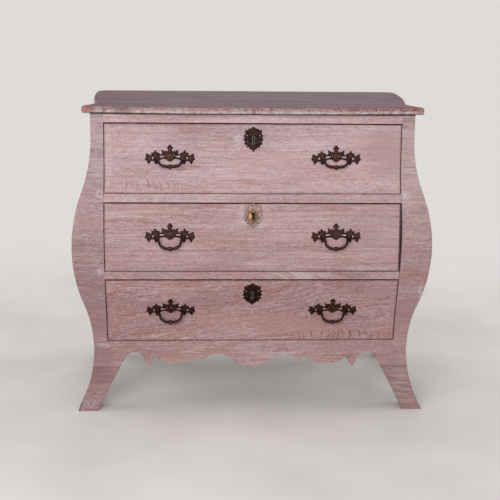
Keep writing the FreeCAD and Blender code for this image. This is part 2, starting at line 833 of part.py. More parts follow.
def top_board():
    """Shaped board with an ear over each front corner and a round nose all the way along."""
    ear_half = s.half_width + s.ear_overhang
    front = face - s.ear_front
    back = case_back + s.top_back_overhang
    nib = (s.nib_half, face - s.nib_overhang)
    hump = (s.hump_offset, face - s.hump_overhang)
    notch = (s.half_width - s.ear_reach, front + s.ear_notch)
    nose = (ear_half - s.ear_nose / 2, front)
    ear = (ear_half, front + s.ear_nose)
    waist = (s.half_width - s.top_waist_inset, face + s.top_waist_depth)
    side = (ear_half, back - s.top_corner_radius)
    rounding = (ear_half - s.top_corner_radius, back)
    swell = eased(hump, nib, 0)
    right = [
        corner(*nib, swell),
        corner(*hump, eased(hump, notch, 0)),
        corner(*notch, risen(notch, nose, -s.ear_bow)),
        corner(*nose, risen(nose, ear, -s.ear_nose_bulge)),
        corner(*ear, risen(ear, waist, s.ear_hollow)),
        corner(*waist, eased(side, waist, 1)),
        corner(*side, Bend((rounding[0].value, side[1].value), s.top_corner_radius)),
        corner(*rounding),
    ]
    # The dip carries on from the swell on either side without a corner.
    dip_radius = s.nib_half * swell.radius / (s.hump_offset - s.nib_half)
    dip_centre = (0, nib[1].value - (dip_radius.squared() - s.nib_half.squared()).root().value)
    left = reflected(right)
    left[-1] = left[-1]._replace(bend=Bend(dip_centre, dip_radius))
    board = slab("top_board", "XY_Plane", [right + left], case_top, s.total_height)
    round_off(board, "upper", s.total_height, s.top_upper_round)
    round_off(board, "lower", case_top, s.top_lower_round)
    return piece(board)


def round_off(body, name, level, radius):
    """Round the body's edges that lie wholly at one height."""
    document.recompute()
    edges = [
        "Edge%d" % (index + 1) for index, edge in enumerate(body.Shape.Edges)
        if max(abs(vertex.Z - level.value) for vertex in edge.Vertexes) < LEVEL_TOLERANCE
    ]
    sharp = body.Tip
    rounding = body.newObject("PartDesign::Fillet", "%s_%s_round" % (body.Name, name))
    rounding.Base = (sharp, edges)
    rounding.setExpression("Radius", radius.text)


# ------------------------------------------------------------------ drawers

def front_skin(label, low, high, outer, inner, half):
    """Sheet across the front between the side curve set back by outer and by inner."""
    outline = side_curve(low, high, at_front(outer)) + side_curve(high, low, at_front(inner))
    return slab(label, "YZ_Plane", [outline], -half, half)


def drawer_side(name, low, high, bottom):
    """Right-hand side with dovetails into the front, and the dovetails by themselves."""
    outline = side_curve(low, high, at_front(s.front_thickness))
    outline += [corner(drawer_back, high), corner(drawer_back, low)]
    blank = slab(name + "_blank", "YZ_Plane", [outline], drawer_inside, drawer_outside)
    middle = (low + high) / 2
    tails = []
    for height in (low + s.tail_margin, middle, high - s.tail_margin):
        seam = face - proud(height) + s.front_thickness
        root = seam + s.tail_length / 2
        tip = seam - s.tail_length
        tails.append([
            corner(root, height - s.tail_root / 2),
            corner(tip, height - s.tail_tip / 2),
            corner(tip, height + s.tail_tip / 2),
            corner(root, height + s.tail_root / 2),
        ])
    dovetails = slab(name + "_dovetails", "YZ_Plane", tails, drawer_inside, drawer_outside)
    return cut(name, fuse(name + "_tailed", blank, dovetails), bottom), dovetails


def keyhole(level, height, depth):
    """Round hole with a slot under it, from in front of the drawer to depth."""
    start = (FLOOR, clear_front, height + s.key_above)
    hole = rod("keyhole_round_" + level, s.key_radius, start, depth - clear_front, ALONG_Y)
    slot = block("keyhole_slot_" + level, (-s.key_slot / 2, s.key_slot / 2), (clear_front, depth),
                 (height - s.key_below, height + s.key_above))
    return fuse("keyhole_" + level, hole, slot)


def lock(level, key_height, high):
    """Lock case, its bolt, the recess for the case and the mortise for the bolt."""
    low = key_height - s.lock_drop
    seat = face - proud((low + high) / 2) + s.front_thickness - s.lock_recess
    back = seat + s.lock_thickness
    half = (-s.lock_half, s.lock_half)
    blank = block("lock_case_blank_" + level, half, (seat, back), (low, high))
    recess = block("lock_recess_" + level, half, (seat, back + s.front_thickness), (low, high))
    bolt_front = seat + (s.lock_thickness - s.bolt_thickness) / 2
    bolt_back = bolt_front + s.bolt_thickness
    bolt_low = key_height + s.bolt_lift
    bolt = block("lock_bolt_" + level, (-s.bolt_half, s.bolt_half), (bolt_front, bolt_back),
                 (bolt_low, high))
    loose = s.bolt_clearance
    channel = block("bolt_channel_" + level, (-s.bolt_half - loose, s.bolt_half + loose),
                    (bolt_front - loose, bolt_back + loose), (bolt_low - loose, high))
    room = s.mortise_clearance
    mortise = block("bolt_mortise_" + level, (-s.bolt_half - room, s.bolt_half + room),
                    (bolt_front - room, bolt_back + room), (high, high + s.bolt_throw + room))
    way_in = keyhole(level, key_height, bolt_front - loose)
    case = cut("lock_case_" + level, blank, channel, way_in)
    return case, bolt, recess, mortise, way_in


def drawer(index):
    """One drawer with its lock, pulls and escutcheon; gives the mortise its bolt needs."""
    level = LEVELS[index]
    floor = opening_floors[index]
    ceiling = opening_tops[index]
    low = floor + s.bottom_gap
    high = ceiling - s.top_gap
    panel_low = floor + s.drawer_bottom_lift
    panel_high = panel_low + s.drawer_bottom_thickness
    panel_half = drawer_inside + s.drawer_groove
    panel_front = face - proud(panel_low) + s.front_thickness - s.drawer_groove
    bottom = piece(block("drawer_bottom_" + level, (-panel_half, panel_half),
                         (panel_front, drawer_back), (panel_low, panel_high)))
    side, tails = drawer_side("drawer_side_" + level, floor + s.running_gap,
                              ceiling - s.side_drop, bottom)
    piece(side).Label = "drawer_side_right_" + level
    piece(mirrored("drawer_side_left_" + level, side))
    piece(block("drawer_back_" + level, (-drawer_inside, drawer_inside),
                (drawer_back - s.drawer_back_thickness, drawer_back),
                (panel_high, ceiling - s.drawer_back_drop)))
    key_height = ceiling - getattr(s, "key_drop_" + level)
    case, bolt, recess, mortise, way_in = lock(level, key_height, high)
    piece(case)
    piece(bolt)
    skin = front_skin("plate_skin_" + level, low, high, -s.plate_seat - s.plate_thickness,
                      -s.plate_seat, drawer_outside)
    shanks = pulls(level, floor + getattr(s, "pull_lift_" + level), skin)
    plate = escutcheon_casting(level, key_height)
    piece(cut("escutcheon_" + level, common("escutcheon_blank_" + level, plate, skin), way_in))
    board = front_skin("drawer_front_blank_" + level, low, high, FLOOR, s.front_thickness,
                       drawer_outside)
    piece(cut("drawer_front_" + level, board, bottom, tails,
              mirrored("dovetails_left_" + level, tails), recess, way_in, *shanks))
    return mortise


# ------------------------------------------------------------------ pulls and escutcheons

# Leaves of a casting, as base and tip, then half the width.  Places across are shares of the
# casting's reach, and places up and widths are shares of its rise.
PULL_LEAVES = (
    (0, -0.05, 0, 0.70, 0.21),            # body
    (0, 0.62, 0, 1.0, 0.125),             # bud
    (0.03, 0.74, 0.11, 0.84, 0.045),      # barb of the bud
    (0.06, 0.38, 0.32, 0.72, 0.08),       # side leaf
    (0.59, 0.10, 0.60, 0.64, 0.105),      # trefoil, upright
    (0.60, 0.30, 0.44, 0.47, 0.075),      # trefoil, inwards
    (0.59, 0.30, 0.75, 0.47, 0.075),      # trefoil, outwards
    (0.59, 0.30, 0.62, -0.10, 0.09),      # trefoil, down
    (0.83, 0.17, 0.90, 0.52, 0.115),      # end club, up
    (0.81, 0.17, 1.0, 0.12, 0.115),       # end club, outwards
    (0.83, 0.22, 0.88, -0.12, 0.105),     # end club, down
)
PULL_BARS = (                             # straight bars, as start and end, then half the width
    (0, 0.39, 0.57, 0.39, 0.033),
    (0.57, 0.36, 0.86, 0.30, 0.033),
    (0.54, 0.05, 0.86, 0.10, 0.033),
)
HEART_CREST = (0.26, 0.19, 0.037)         # arch between the middle and a post: place, half width
ESCUTCHEON_LEAVES = (
    (0, 0.30, 0, 1.0, 0.20),              # top bud
    (0, -0.25, 0, -1.0, 0.24),            # bottom point
    (0.15, 0.25, 0.60, 0.82, 0.15),       # upper horn
    (0, 0.12, 1.0, 0.24, 0.24),           # upper side lobe
    (0, -0.10, 0.96, -0.34, 0.24),        # lower side lobe
    (0.10, -0.25, 0.56, -0.75, 0.19),     # lower corner lobe
)
ESCUTCHEON_DISC = 0.48                    # radius of the middle, as a share of the rise


class Casting:
    """Flat ornament of overlapping leaves and bars about a middle, cut from thick plate."""

    def __init__(self, middle_x, middle_z, reach, rise):
        self.middle_x = middle_x
        self.middle_z = middle_z
        self.reach = reach
        self.rise = rise
        self.faces = []

    def point(self, across, up):
        return FreeCAD.Vector(self.middle_x + across, clear_front.value, self.middle_z + up)

    def add(self, edges):
        self.faces.append(Part.Face(Part.Wire(edges)))

    def leaf(self, base_x, base_z, tip_x, tip_z, half_width):
        base = self.point(base_x, base_z)
        tip = self.point(tip_x, tip_z)
        way = (tip - base).normalize()
        out = FreeCAD.Vector(-way.z, 0, way.x) * half_width
        middle = (base + tip) / 2
        self.add([Part.Arc(base, middle + out, tip).toShape(),
                  Part.Arc(tip, middle - out, base).toShape()])

    def bar(self, start_x, start_z, end_x, end_z, half_width):
        start = self.point(start_x, start_z)
        end = self.point(end_x, end_z)
        way = (end - start).normalize()
        out = FreeCAD.Vector(-way.z, 0, way.x) * half_width
        self.add(Part.makePolygon([start + out, end + out, end - out, start - out,
                                   start + out]).Edges)

    def arch(self, end_x, crest_x, crest_z, half_width):
        """Curved bar from the middle over a crest to end_x, all starting and ending level."""
        lift = FreeCAD.Vector(0, 0, half_width)
        start = self.point(0, 0)
        crest = self.point(crest_x, crest_z)
        end = self.point(end_x, 0)
        self.add([Part.Arc(start + lift, crest + lift, end + lift).toShape(),
                  Part.makeLine(end + lift, end - lift),
                  Part.Arc(end - lift, crest - lift, start - lift).toShape(),
                  Part.makeLine(start - lift, start + lift)])

    def disc(self, across, up, radius):
        circle = Part.Circle(self.point(across, up), FreeCAD.Vector(0, 1, 0), radius)
        self.add([circle.toShape()])

    def both_ways(self, rows, make):
        """Make each row on both sides of the middle, or once where it lies in the middle."""
        for row in rows:
            base_x, base_z, tip_x, tip_z, half_width = row
            for hand in (1, -1) if tip_x else (1,):
                make(base_x * self.reach * hand, base_z * self.rise,
                     tip_x * self.reach * hand, tip_z * self.rise, half_width * self.rise)

    def feature(self, label):
        thickness = face.value - clear_front.value + s.front_thickness.value
        solids = [item.extrude(FreeCAD.Vector(0, thickness, 0)) for item in self.faces]
        ornament = document.addObject("Part::Feature", label)
        ornament.Shape = solids[0].fuse(solids[1:]).removeSplitter()
        return ornament


def escutcheon_casting(level, height):
    casting = Casting(0, height.value, s.escutcheon_half.value, s.escutcheon_rise.value)
    casting.disc(0, 0, ESCUTCHEON_DISC * casting.rise)
    casting.both_ways(ESCUTCHEON_LEAVES, casting.leaf)
    return casting.feature("escutcheon_casting_" + level)


def pull_casting(level, height):
    casting = Casting(pull_spread.value, height.value, s.plate_reach.value, s.plate_rise.value)
    casting.both_ways(PULL_LEAVES, casting.leaf)
    casting.both_ways(PULL_BARS, casting.bar)
    across, up, half_width = HEART_CREST
    for hand in (1, -1):
        post = s.post_spread.value * hand
        casting.arch(post, across * casting.reach * hand, up * casting.rise,
                     half_width * casting.rise)
        casting.disc(post, 0, s.boss_radius.value)
    return casting.feature("pull_casting_" + level)


def post(level, number, across, pivot, height):
    """Post with a ball head and an eye along X, its nut, and the shank by itself."""
    name = "%s_%d" % (level, number)
    nut_front = rearmost_inside(height - s.nut_size, height + s.nut_size)
    nut_back = nut_front + s.nut_thickness
    shank = rod("post_shank_" + name, s.shank_radius, (across, pivot, height),
                nut_back + s.shank_tail - pivot, ALONG_Y)
    ball = document.addObject("Part::Sphere", "post_ball_" + name)
    ball.setExpression("Radius", s.ball_radius.text)
    set_base(ball, (across, pivot, height))
    eye = rod("post_eye_" + name, s.bail_radius + s.eye_clearance,
              (across - s.ball_radius, pivot, height), s.ball_radius * 2, ALONG_X)
    head = cut("post_" + name, fuse("post_blank_" + name, ball, shank), eye)
    blank = document.addObject("Part::Prism", "nut_blank_" + name)
    blank.setExpression("Circumradius", s.nut_size.text)
    blank.setExpression("Height", s.nut_thickness.text)
    blank.Placement = FreeCAD.Placement(FreeCAD.Vector(), ALONG_Y)
    set_base(blank, (across, nut_front, height))
    return head, cut("nut_" + name, blank, shank), shank


def bail(level, pivot, height):
    """Drop handle of the right-hand pull, bent from rod, with a knob at its lowest point."""
    name = "bail_%s" % level
    drop = getattr(s, "bail_drop_" + level)
    bend = getattr(s, "bail_corner_" + level)
    half = s.post_spread - s.ball_radius - s.bail_side_gap - s.bail_radius
    elbow_low = height - s.bail_elbow
    bend_high = height - drop + bend
    lowest = height - drop

    def arm(hand):
        """Corners of one arm from its pin to the bottom, on the right or (-1) on the left."""
        def at(across, up, bend_centre=None, radius=None):
            turn = None
            if radius is not None:
                centre = (pull_spread.value + bend_centre[0].value * hand, bend_centre[1].value)
                turn = Bend(centre, radius)
            return corner(pull_spread + across * hand, up, turn)

        elbow = (half + s.bail_elbow, elbow_low)
        round_centre = (half - bend, bend_high)
        if hand > 0:
            return [
                at(s.post_spread + s.pin_reach, height),
                at(elbow[0], height, elbow, s.bail_elbow),
                at(half, elbow_low),
                at(half, bend_high, round_centre, bend),
                at(half - bend, lowest),
            ]
        return [
            at(half - bend, lowest, round_centre, bend),
            at(half, bend_high),
            at(half, elbow_low, elbow, s.bail_elbow),
            at(elbow[0], height),
            at(s.post_spread + s.pin_reach, height),
        ]

    body = document.addObject("PartDesign::Body", name + "_rod")
    path = place_sketch(body, "XZ_Plane", pivot, name + "_path")
    draw(path, arm(1) + arm(-1), closed=False)
    pin_end = pull_spread + s.post_spread + s.pin_reach
    section = place_sketch(body, "YZ_Plane", pin_end, name + "_section")
    circle = section.addGeometry(Part.Circle(
        FreeCAD.Vector(pivot.value, height.value, 0), FreeCAD.Vector(0, 0, 1),
        s.bail_radius.value))
    tie(section, ("Radius", circle), s.bail_radius)
    tie_point(section, circle, 3, corner(pivot, height))
    pipe = body.newObject("PartDesign::AdditivePipe", name + "_pipe")
    pipe.Profile = section
    pipe.Spine = (path, ["Edge%d" % (index + 1) for index in range(path.GeometryCount)])
    knob = document.addObject("Part::Sphere", name + "_knob")
    knob.setExpression("Radius", s.knob_radius.text)
    set_base(knob, (pull_spread, pivot, lowest))
    point = document.addObject("Part::Cone", name + "_point")
    point.setExpression("Radius1", s.knob_neck_radius.text)
    point.setExpression("Radius2", s.knob_tip_radius.text)
    point.setExpression("Height", s.knob_tip.text)
    point.Placement = FreeCAD.Placement(FreeCAD.Vector(), DOWNWARDS)
    set_base(point, (pull_spread, pivot, lowest))
    whole = piece(fuse(name, body, knob, point))
    whole.Label = "bail_right_" + level
    piece(mirrored("bail_left_" + level, whole))


def pulls(level, height, skin):
    """Both pulls of a drawer; gives the shanks that pass through its front."""
    pivot = face - proud(height) - s.stand_off
    posts = [
        post(level, number, pull_spread + s.post_spread * hand, pivot, height)
        for number, hand in enumerate((1, -1), start=1)
    ]
    shanks = [shank for _, _, shank in posts]
    bail(level, pivot, height)
    blank = common("pull_plate_blank_" + level, pull_casting(level, height), skin)
    plate = cut("pull_plate_" + level, blank, *shanks)
    piece(group("pull_plates_" + level, plate, mirrored("pull_plate_left_" + level, plate)))
    fasteners = [item for head, nut, _ in posts for item in (head, nut)]
    fasteners += [mirrored(item.Label + "_left", item) for item in fasteners]
    piece(group("pull_posts_" + level, *fasteners))
    return shanks + [mirrored(shank.Label + "_left", shank) for shank in shanks]


# ------------------------------------------------------------------ the whole chest

def build_chest():
    top_board()
    mortises = [drawer(index) for index in range(len(LEVELS))]
    tenons = []
    spans = [
        ("drawer_rail_lower", opening_tops[0], opening_floors[1]),
        ("drawer_rail_upper", opening_tops[1], opening_floors[2]),
        ("top_rail_front", opening_tops[2], case_top),
    ]
    for (name, low, high), mortise in zip(spans, mortises):
        blank, right_tenon = front_rail(name, low, high)
        piece(cut(name, blank, mortise))
        tenons.append(right_tenon)
    _, rear_tenon = rear_rails()
    panel = side_panel()
    pair("side_panel", panel)
    pair("stile_front", front_stile(panel, tenons))
    pair("stile_rear", rear_stile(panel, [rear_tenon]))
    back_boards()
    bottom_board()
    drawer_runners()
    drawer_guides()
    drawer_stops()
    glue_blocks()
    front_apron()
    pair("side_apron", side_apron())
    pair("foot_front", front_foot())
    pair("foot_rear", rear_foot())


def check_and_write():
    """Refuse a failed object or an empty or faulty shape, then write one file per sub-part."""
    document.recompute()
    for item in document.Objects:
        if "Invalid" in item.State or "Error" in item.State:
            raise RuntimeError("%s failed: %s" % (item.Label, item.State))
    for item in pieces:
        if item.Shape.isNull() or not item.Shape.isValid() or not item.Shape.Solids:
            raise RuntimeError("%s has a faulty shape" % item.Label)
    os.makedirs("parts", exist_ok=True)
    for item in pieces:
        item.Shape.exportStep("parts/%s.step" % item.Label)
        print("%-26s %2d solids %12.0f mm3" % (
            item.Label, len(item.Shape.Solids), item.Shape.Volume))
    print(len(pieces), "sub-parts")


build_chest()
check_and_write()
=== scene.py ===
import json
import math
from collections import namedtuple

import bmesh
import bpy
import numpy as np
from mathutils import Matrix, Vector


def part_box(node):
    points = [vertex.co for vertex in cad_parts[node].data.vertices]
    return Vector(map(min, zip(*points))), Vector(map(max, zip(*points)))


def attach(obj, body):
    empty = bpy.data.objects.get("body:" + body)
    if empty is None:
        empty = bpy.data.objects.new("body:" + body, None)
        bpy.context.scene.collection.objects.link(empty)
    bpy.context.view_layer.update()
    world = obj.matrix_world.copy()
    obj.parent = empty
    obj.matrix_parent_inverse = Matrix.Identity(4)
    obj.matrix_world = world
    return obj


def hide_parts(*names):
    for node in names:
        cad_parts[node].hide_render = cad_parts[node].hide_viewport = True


# Bombe chest of three drawers in limed oak.  Metres, +Z up, front towards -Y.

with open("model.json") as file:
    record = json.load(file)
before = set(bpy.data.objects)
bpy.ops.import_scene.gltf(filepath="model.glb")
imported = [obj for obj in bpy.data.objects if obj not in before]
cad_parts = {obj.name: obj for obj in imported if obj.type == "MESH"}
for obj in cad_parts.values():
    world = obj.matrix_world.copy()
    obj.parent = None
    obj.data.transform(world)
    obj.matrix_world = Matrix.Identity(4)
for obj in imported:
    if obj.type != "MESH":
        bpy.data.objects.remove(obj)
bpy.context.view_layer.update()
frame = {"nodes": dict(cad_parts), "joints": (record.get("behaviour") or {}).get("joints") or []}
NODES = frame["nodes"]
LEVELS = ("top", "middle", "bottom")
SIDES = (("left", -1), ("right", 1))
MM = 0.001

# ---- the swelling curve

STRAIGHT_FROM = 0.720  # height above which the front and the sides are straight
BELLY_HEIGHT = 0.438
BELLY_SWELL = 0.049
RADIUS_ABOVE = 0.425
RADIUS_BELOW = 0.465
WAIST_HEIGHT = 0.158
WAIST_PROUD = 0.0025
FOOT_SPREAD = 0.043
HALF_WIDTH = 0.4125
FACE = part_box("top_rail_front")[0].y


def fitted_radius(rise, swell):
    """Sum of the two radii of an S-shaped curve that is upright at both ends."""
    return (rise ** 2 + swell ** 2) / (2 * swell)


ABOVE = STRAIGHT_FROM - BELLY_HEIGHT
BELOW = BELLY_HEIGHT - WAIST_HEIGHT
SHOULDER_RADIUS = fitted_radius(ABOVE, BELLY_SWELL) - RADIUS_ABOVE
WAIST_RADIUS = fitted_radius(BELOW, BELLY_SWELL - WAIST_PROUD) - RADIUS_BELOW
FOOT_RADIUS = fitted_radius(WAIST_HEIGHT, FOOT_SPREAD - WAIST_PROUD)
SHOULDER_END = STRAIGHT_FROM - ABOVE * SHOULDER_RADIUS / (SHOULDER_RADIUS + RADIUS_ABOVE)
WAIST_END = WAIST_HEIGHT + BELOW * WAIST_RADIUS / (WAIST_RADIUS + RADIUS_BELOW)


def proud(height):
    """How far the front and the sides stand out of their straight part at a height."""
    z = np.asarray(height, float)

    def bulge(radius, level, out):
        return out - radius + np.sqrt(radius ** 2 - np.clip(z - level, -radius, radius) ** 2)

    return np.select(
        [z >= STRAIGHT_FROM, z >= SHOULDER_END, z >= BELLY_HEIGHT, z >= WAIST_END, z >= WAIST_HEIGHT],
        [0.0 * z,
         -bulge(SHOULDER_RADIUS, STRAIGHT_FROM, 0),
         bulge(RADIUS_ABOVE, BELLY_HEIGHT, BELLY_SWELL),
         bulge(RADIUS_BELOW, BELLY_HEIGHT, BELLY_SWELL),
         -bulge(WAIST_RADIUS, WAIST_HEIGHT, -WAIST_PROUD)],
        -bulge(FOOT_RADIUS, WAIST_HEIGHT, -WAIST_PROUD))


def front_at(height):
    return FACE - proud(height)


# ---- materials


class Field:
    """A number that varies over a surface; sums and products of it are nodes as well."""

    def __init__(self, tree, socket):
        self.tree = tree
        self.socket = socket

    def __add__(self, other):
        return self.tree.math("ADD", self, other)

    def __sub__(self, other):
        return self.tree.math("SUBTRACT", self, other)

    def __rsub__(self, other):
        return self.tree.math("SUBTRACT", other, self)

    def __mul__(self, other):
        return self.tree.math("MULTIPLY", self, other)

    def __truediv__(self, other):
        return self.tree.math("DIVIDE", self, other)


class Tree:
    """Short names for the nodes that a material or a world is made of."""

    def __init__(self, node_tree):
        self.nodes = node_tree.nodes
        self.links = node_tree.links

    def feed(self, socket, value):
        if isinstance(value, Field):
            value = value.socket
        if isinstance(value, bpy.types.NodeSocket):
            self.links.new(value, socket)
        else:
            socket.default_value = value

    def node(self, kind, inputs=(), **settings):
        """Outputs of a new node, whose inputs are given in order or by name."""
        node = self.nodes.new("ShaderNode" + kind)
        for name, setting in settings.items():
            setattr(node, name, setting)
        for key, value in inputs.items() if isinstance(inputs, dict) else enumerate(inputs):
            self.feed(node.inputs[key], value)
        return node.outputs

    def math(self, operation, *values):
        return Field(self, self.node("Math", values, operation=operation)[0])

    def mixed(self, share, first, second, output):
        """Send a mix of two shaders to the tree's output node."""
        mix = self.node("MixShader", (share, first, second))[0]
        self.feed(self.nodes[output].inputs["Surface"], mix)


class Paint(Tree):
    """A procedural material."""

    def __init__(self, name, metallic=0.0, specular=0.5, roughness=0.5):
        self.material = bpy.data.materials.new(name)
        self.material.use_nodes = True
        super().__init__(self.material.node_tree)
        self.shader = self.nodes["Principled BSDF"]
        self.shader.inputs["Metallic"].default_value = metallic
        self.shader.inputs["Specular IOR Level"].default_value = specular
        self.shader.inputs["Roughness"].default_value = roughness
        self.coordinates = self.node("TexCoord")
        self.place = self.coordinates["Object"]
        self.axes = dict(zip("xyz", self.split(self.place)))

    def split(self, vector):
        """Fields of a vector's three parts."""
        return [Field(self, socket) for socket in self.node("SeparateXYZ", [vector])]

    def vector(self, x, y, z):
        return self.node("CombineXYZ", (x, y, z))[0]

    def noise(self, scale, detail=2.0, roughness=0.5, place=None, shift=(0, 0, 0)):
        """Noise of one scale all round, or of a scale along each axis."""
        if place is None:
            place = self.place
        if isinstance(scale, tuple):
            place = self.node("Mapping", {"Vector": place, "Location": shift, "Scale": scale})[0]
            scale = 1.0
        inputs = {"Vector": place, "Scale": scale, "Detail": detail, "Roughness": roughness}
        return Field(self, self.node("TexNoise", inputs)["Fac"])

    def step(self, value, low, high, start=0.0, end=1.0):
        """Smooth rise from start to end while value goes from low to high."""
        values = (value, low, high, start, end)
        return Field(self, self.node("MapRange", values, interpolation_type="SMOOTHSTEP")[0])

    def blend(self, share, first, second):
        return self.node("Mix", {"Factor": share, "A": first, "B": second}, data_type="RGBA")["Result"]

    def layers(self, base, tint, *rows):
        """Lay tints over base, each at its strength where a field has gone from low to high."""
        for field, low, high, strength, color in rows:
            base = self.blend(self.step(field, low, high, 0.0, strength), base, tint[color])
        return base

    def attribute(self, name):
        return Field(self, self.node("Attribute", attribute_name=name)["Fac"])

    def spot(self, first, second, softness):
        """1 inside an ellipse, falling to 0 at its rim; an axis, its middle and its reach, twice."""
        total = None
        for axis, middle, reach in (first, second):
            away = (self.axes[axis] - middle) / reach
            total = away * away if total is None else total + away * away
        return self.step(total, 1.0 - softness, 1.0 + softness, 1.0, 0.0)

    def finish(self, color, roughness, height, depth=0.0003, strength=0.6):
        bump = self.node("Bump", {"Strength": strength, "Distance": depth, "Height": height})[0]
        for name, value in (("Base Color", color), ("Roughness", roughness), ("Normal", bump)):
            self.feed(self.shader.inputs[name], value)
        return self.material


def srgb(red, green, blue):
    """Colour written as it looks, 0 to 255, as the linear one that shaders take."""
    def linear(value):
        value /= 255
        return value / 12.92 if value <= 0.04045 else ((value + 0.055) / 1.055) ** 2.4

    return linear(red), linear(green), linear(blue), 1.0


# near black: painted shade in the drawer gaps, under the top board and on the drawer fronts' arrises, and
# dirt on the other arrises
SHADE_AND_DIRT = srgb(30, 18, 16)
FLECK = srgb(216, 204, 210)  # lime left standing on the wood
EAR_RUST = srgb(160, 96, 74)  # worn ears of the top board
BARE_PALE = srgb(142, 112, 86)  # oak without lime, behind the faces that meet at a gap
BARE_DARK = srgb(104, 78, 58)
INSIDE = {
    "light": srgb(190, 158, 122), "dark": srgb(146, 112, 82), "streak": srgb(112, 82, 58),
    "pores": srgb(92, 66, 46), "grime": srgb(112, 92, 76),
}
GRAIN = {"x": "xzy", "y": "yzx"}  # along, across and through the grain
LINE_PITCH = 0.0095  # broad growth lines apart, metres
HAIR_PITCH = 0.0056  # fine growth lines apart, metres
RAY_PITCH = 0.0150  # upright ray strokes apart, metres
RAY_SHIFT = 0.024  # metres by which their distances vary
RAY_BOW, RAY_LEAN = 16.0, 1.6  # how far strokes bow and lean over their height
GAP_SHADE_FROM, GAP_SHADE_TO = 0.004, 0.009  # depth behind the front to which a gap's faces are painted black as shade, metres
EDGE_SHADE_AND_GRIME = (0.006, 0.0005)  # from a drawer front's edge, metres: where grime and painted shade begin, and are full


def toned(tone, *factors):
    return srgb(*(min(value * factor, 255) for value, factor in zip(tone, factors)))


def tints_of(tone):
    """The colours that limed oak of one overall tone (0 to 255) is mixed from."""
    return {
        "pale": toned(tone, 1.07, 1.07, 1.08),
        "deep": toned(tone, 0.94, 0.91, 0.91),
        "lime": srgb(*(value + (246 - value) * 0.46 for value in tone)),
        "umber": toned(tone, 0.67, 0.57, 0.55),
        "rust": toned(tone, 0.88, 0.75, 0.70),
        "warm": toned(tone, 1.02, 0.94, 0.91),
        "cool": toned(tone, 0.965, 0.99, 1.03),
        "rays": toned(tone, 0.80, 0.60, 0.50),
        "dust": toned(tone, 0.76, 0.72, 0.72),
        "flecks": FLECK,
        "shade_and_dirt": SHADE_AND_DIRT,
        "ear": EAR_RUST,
    }


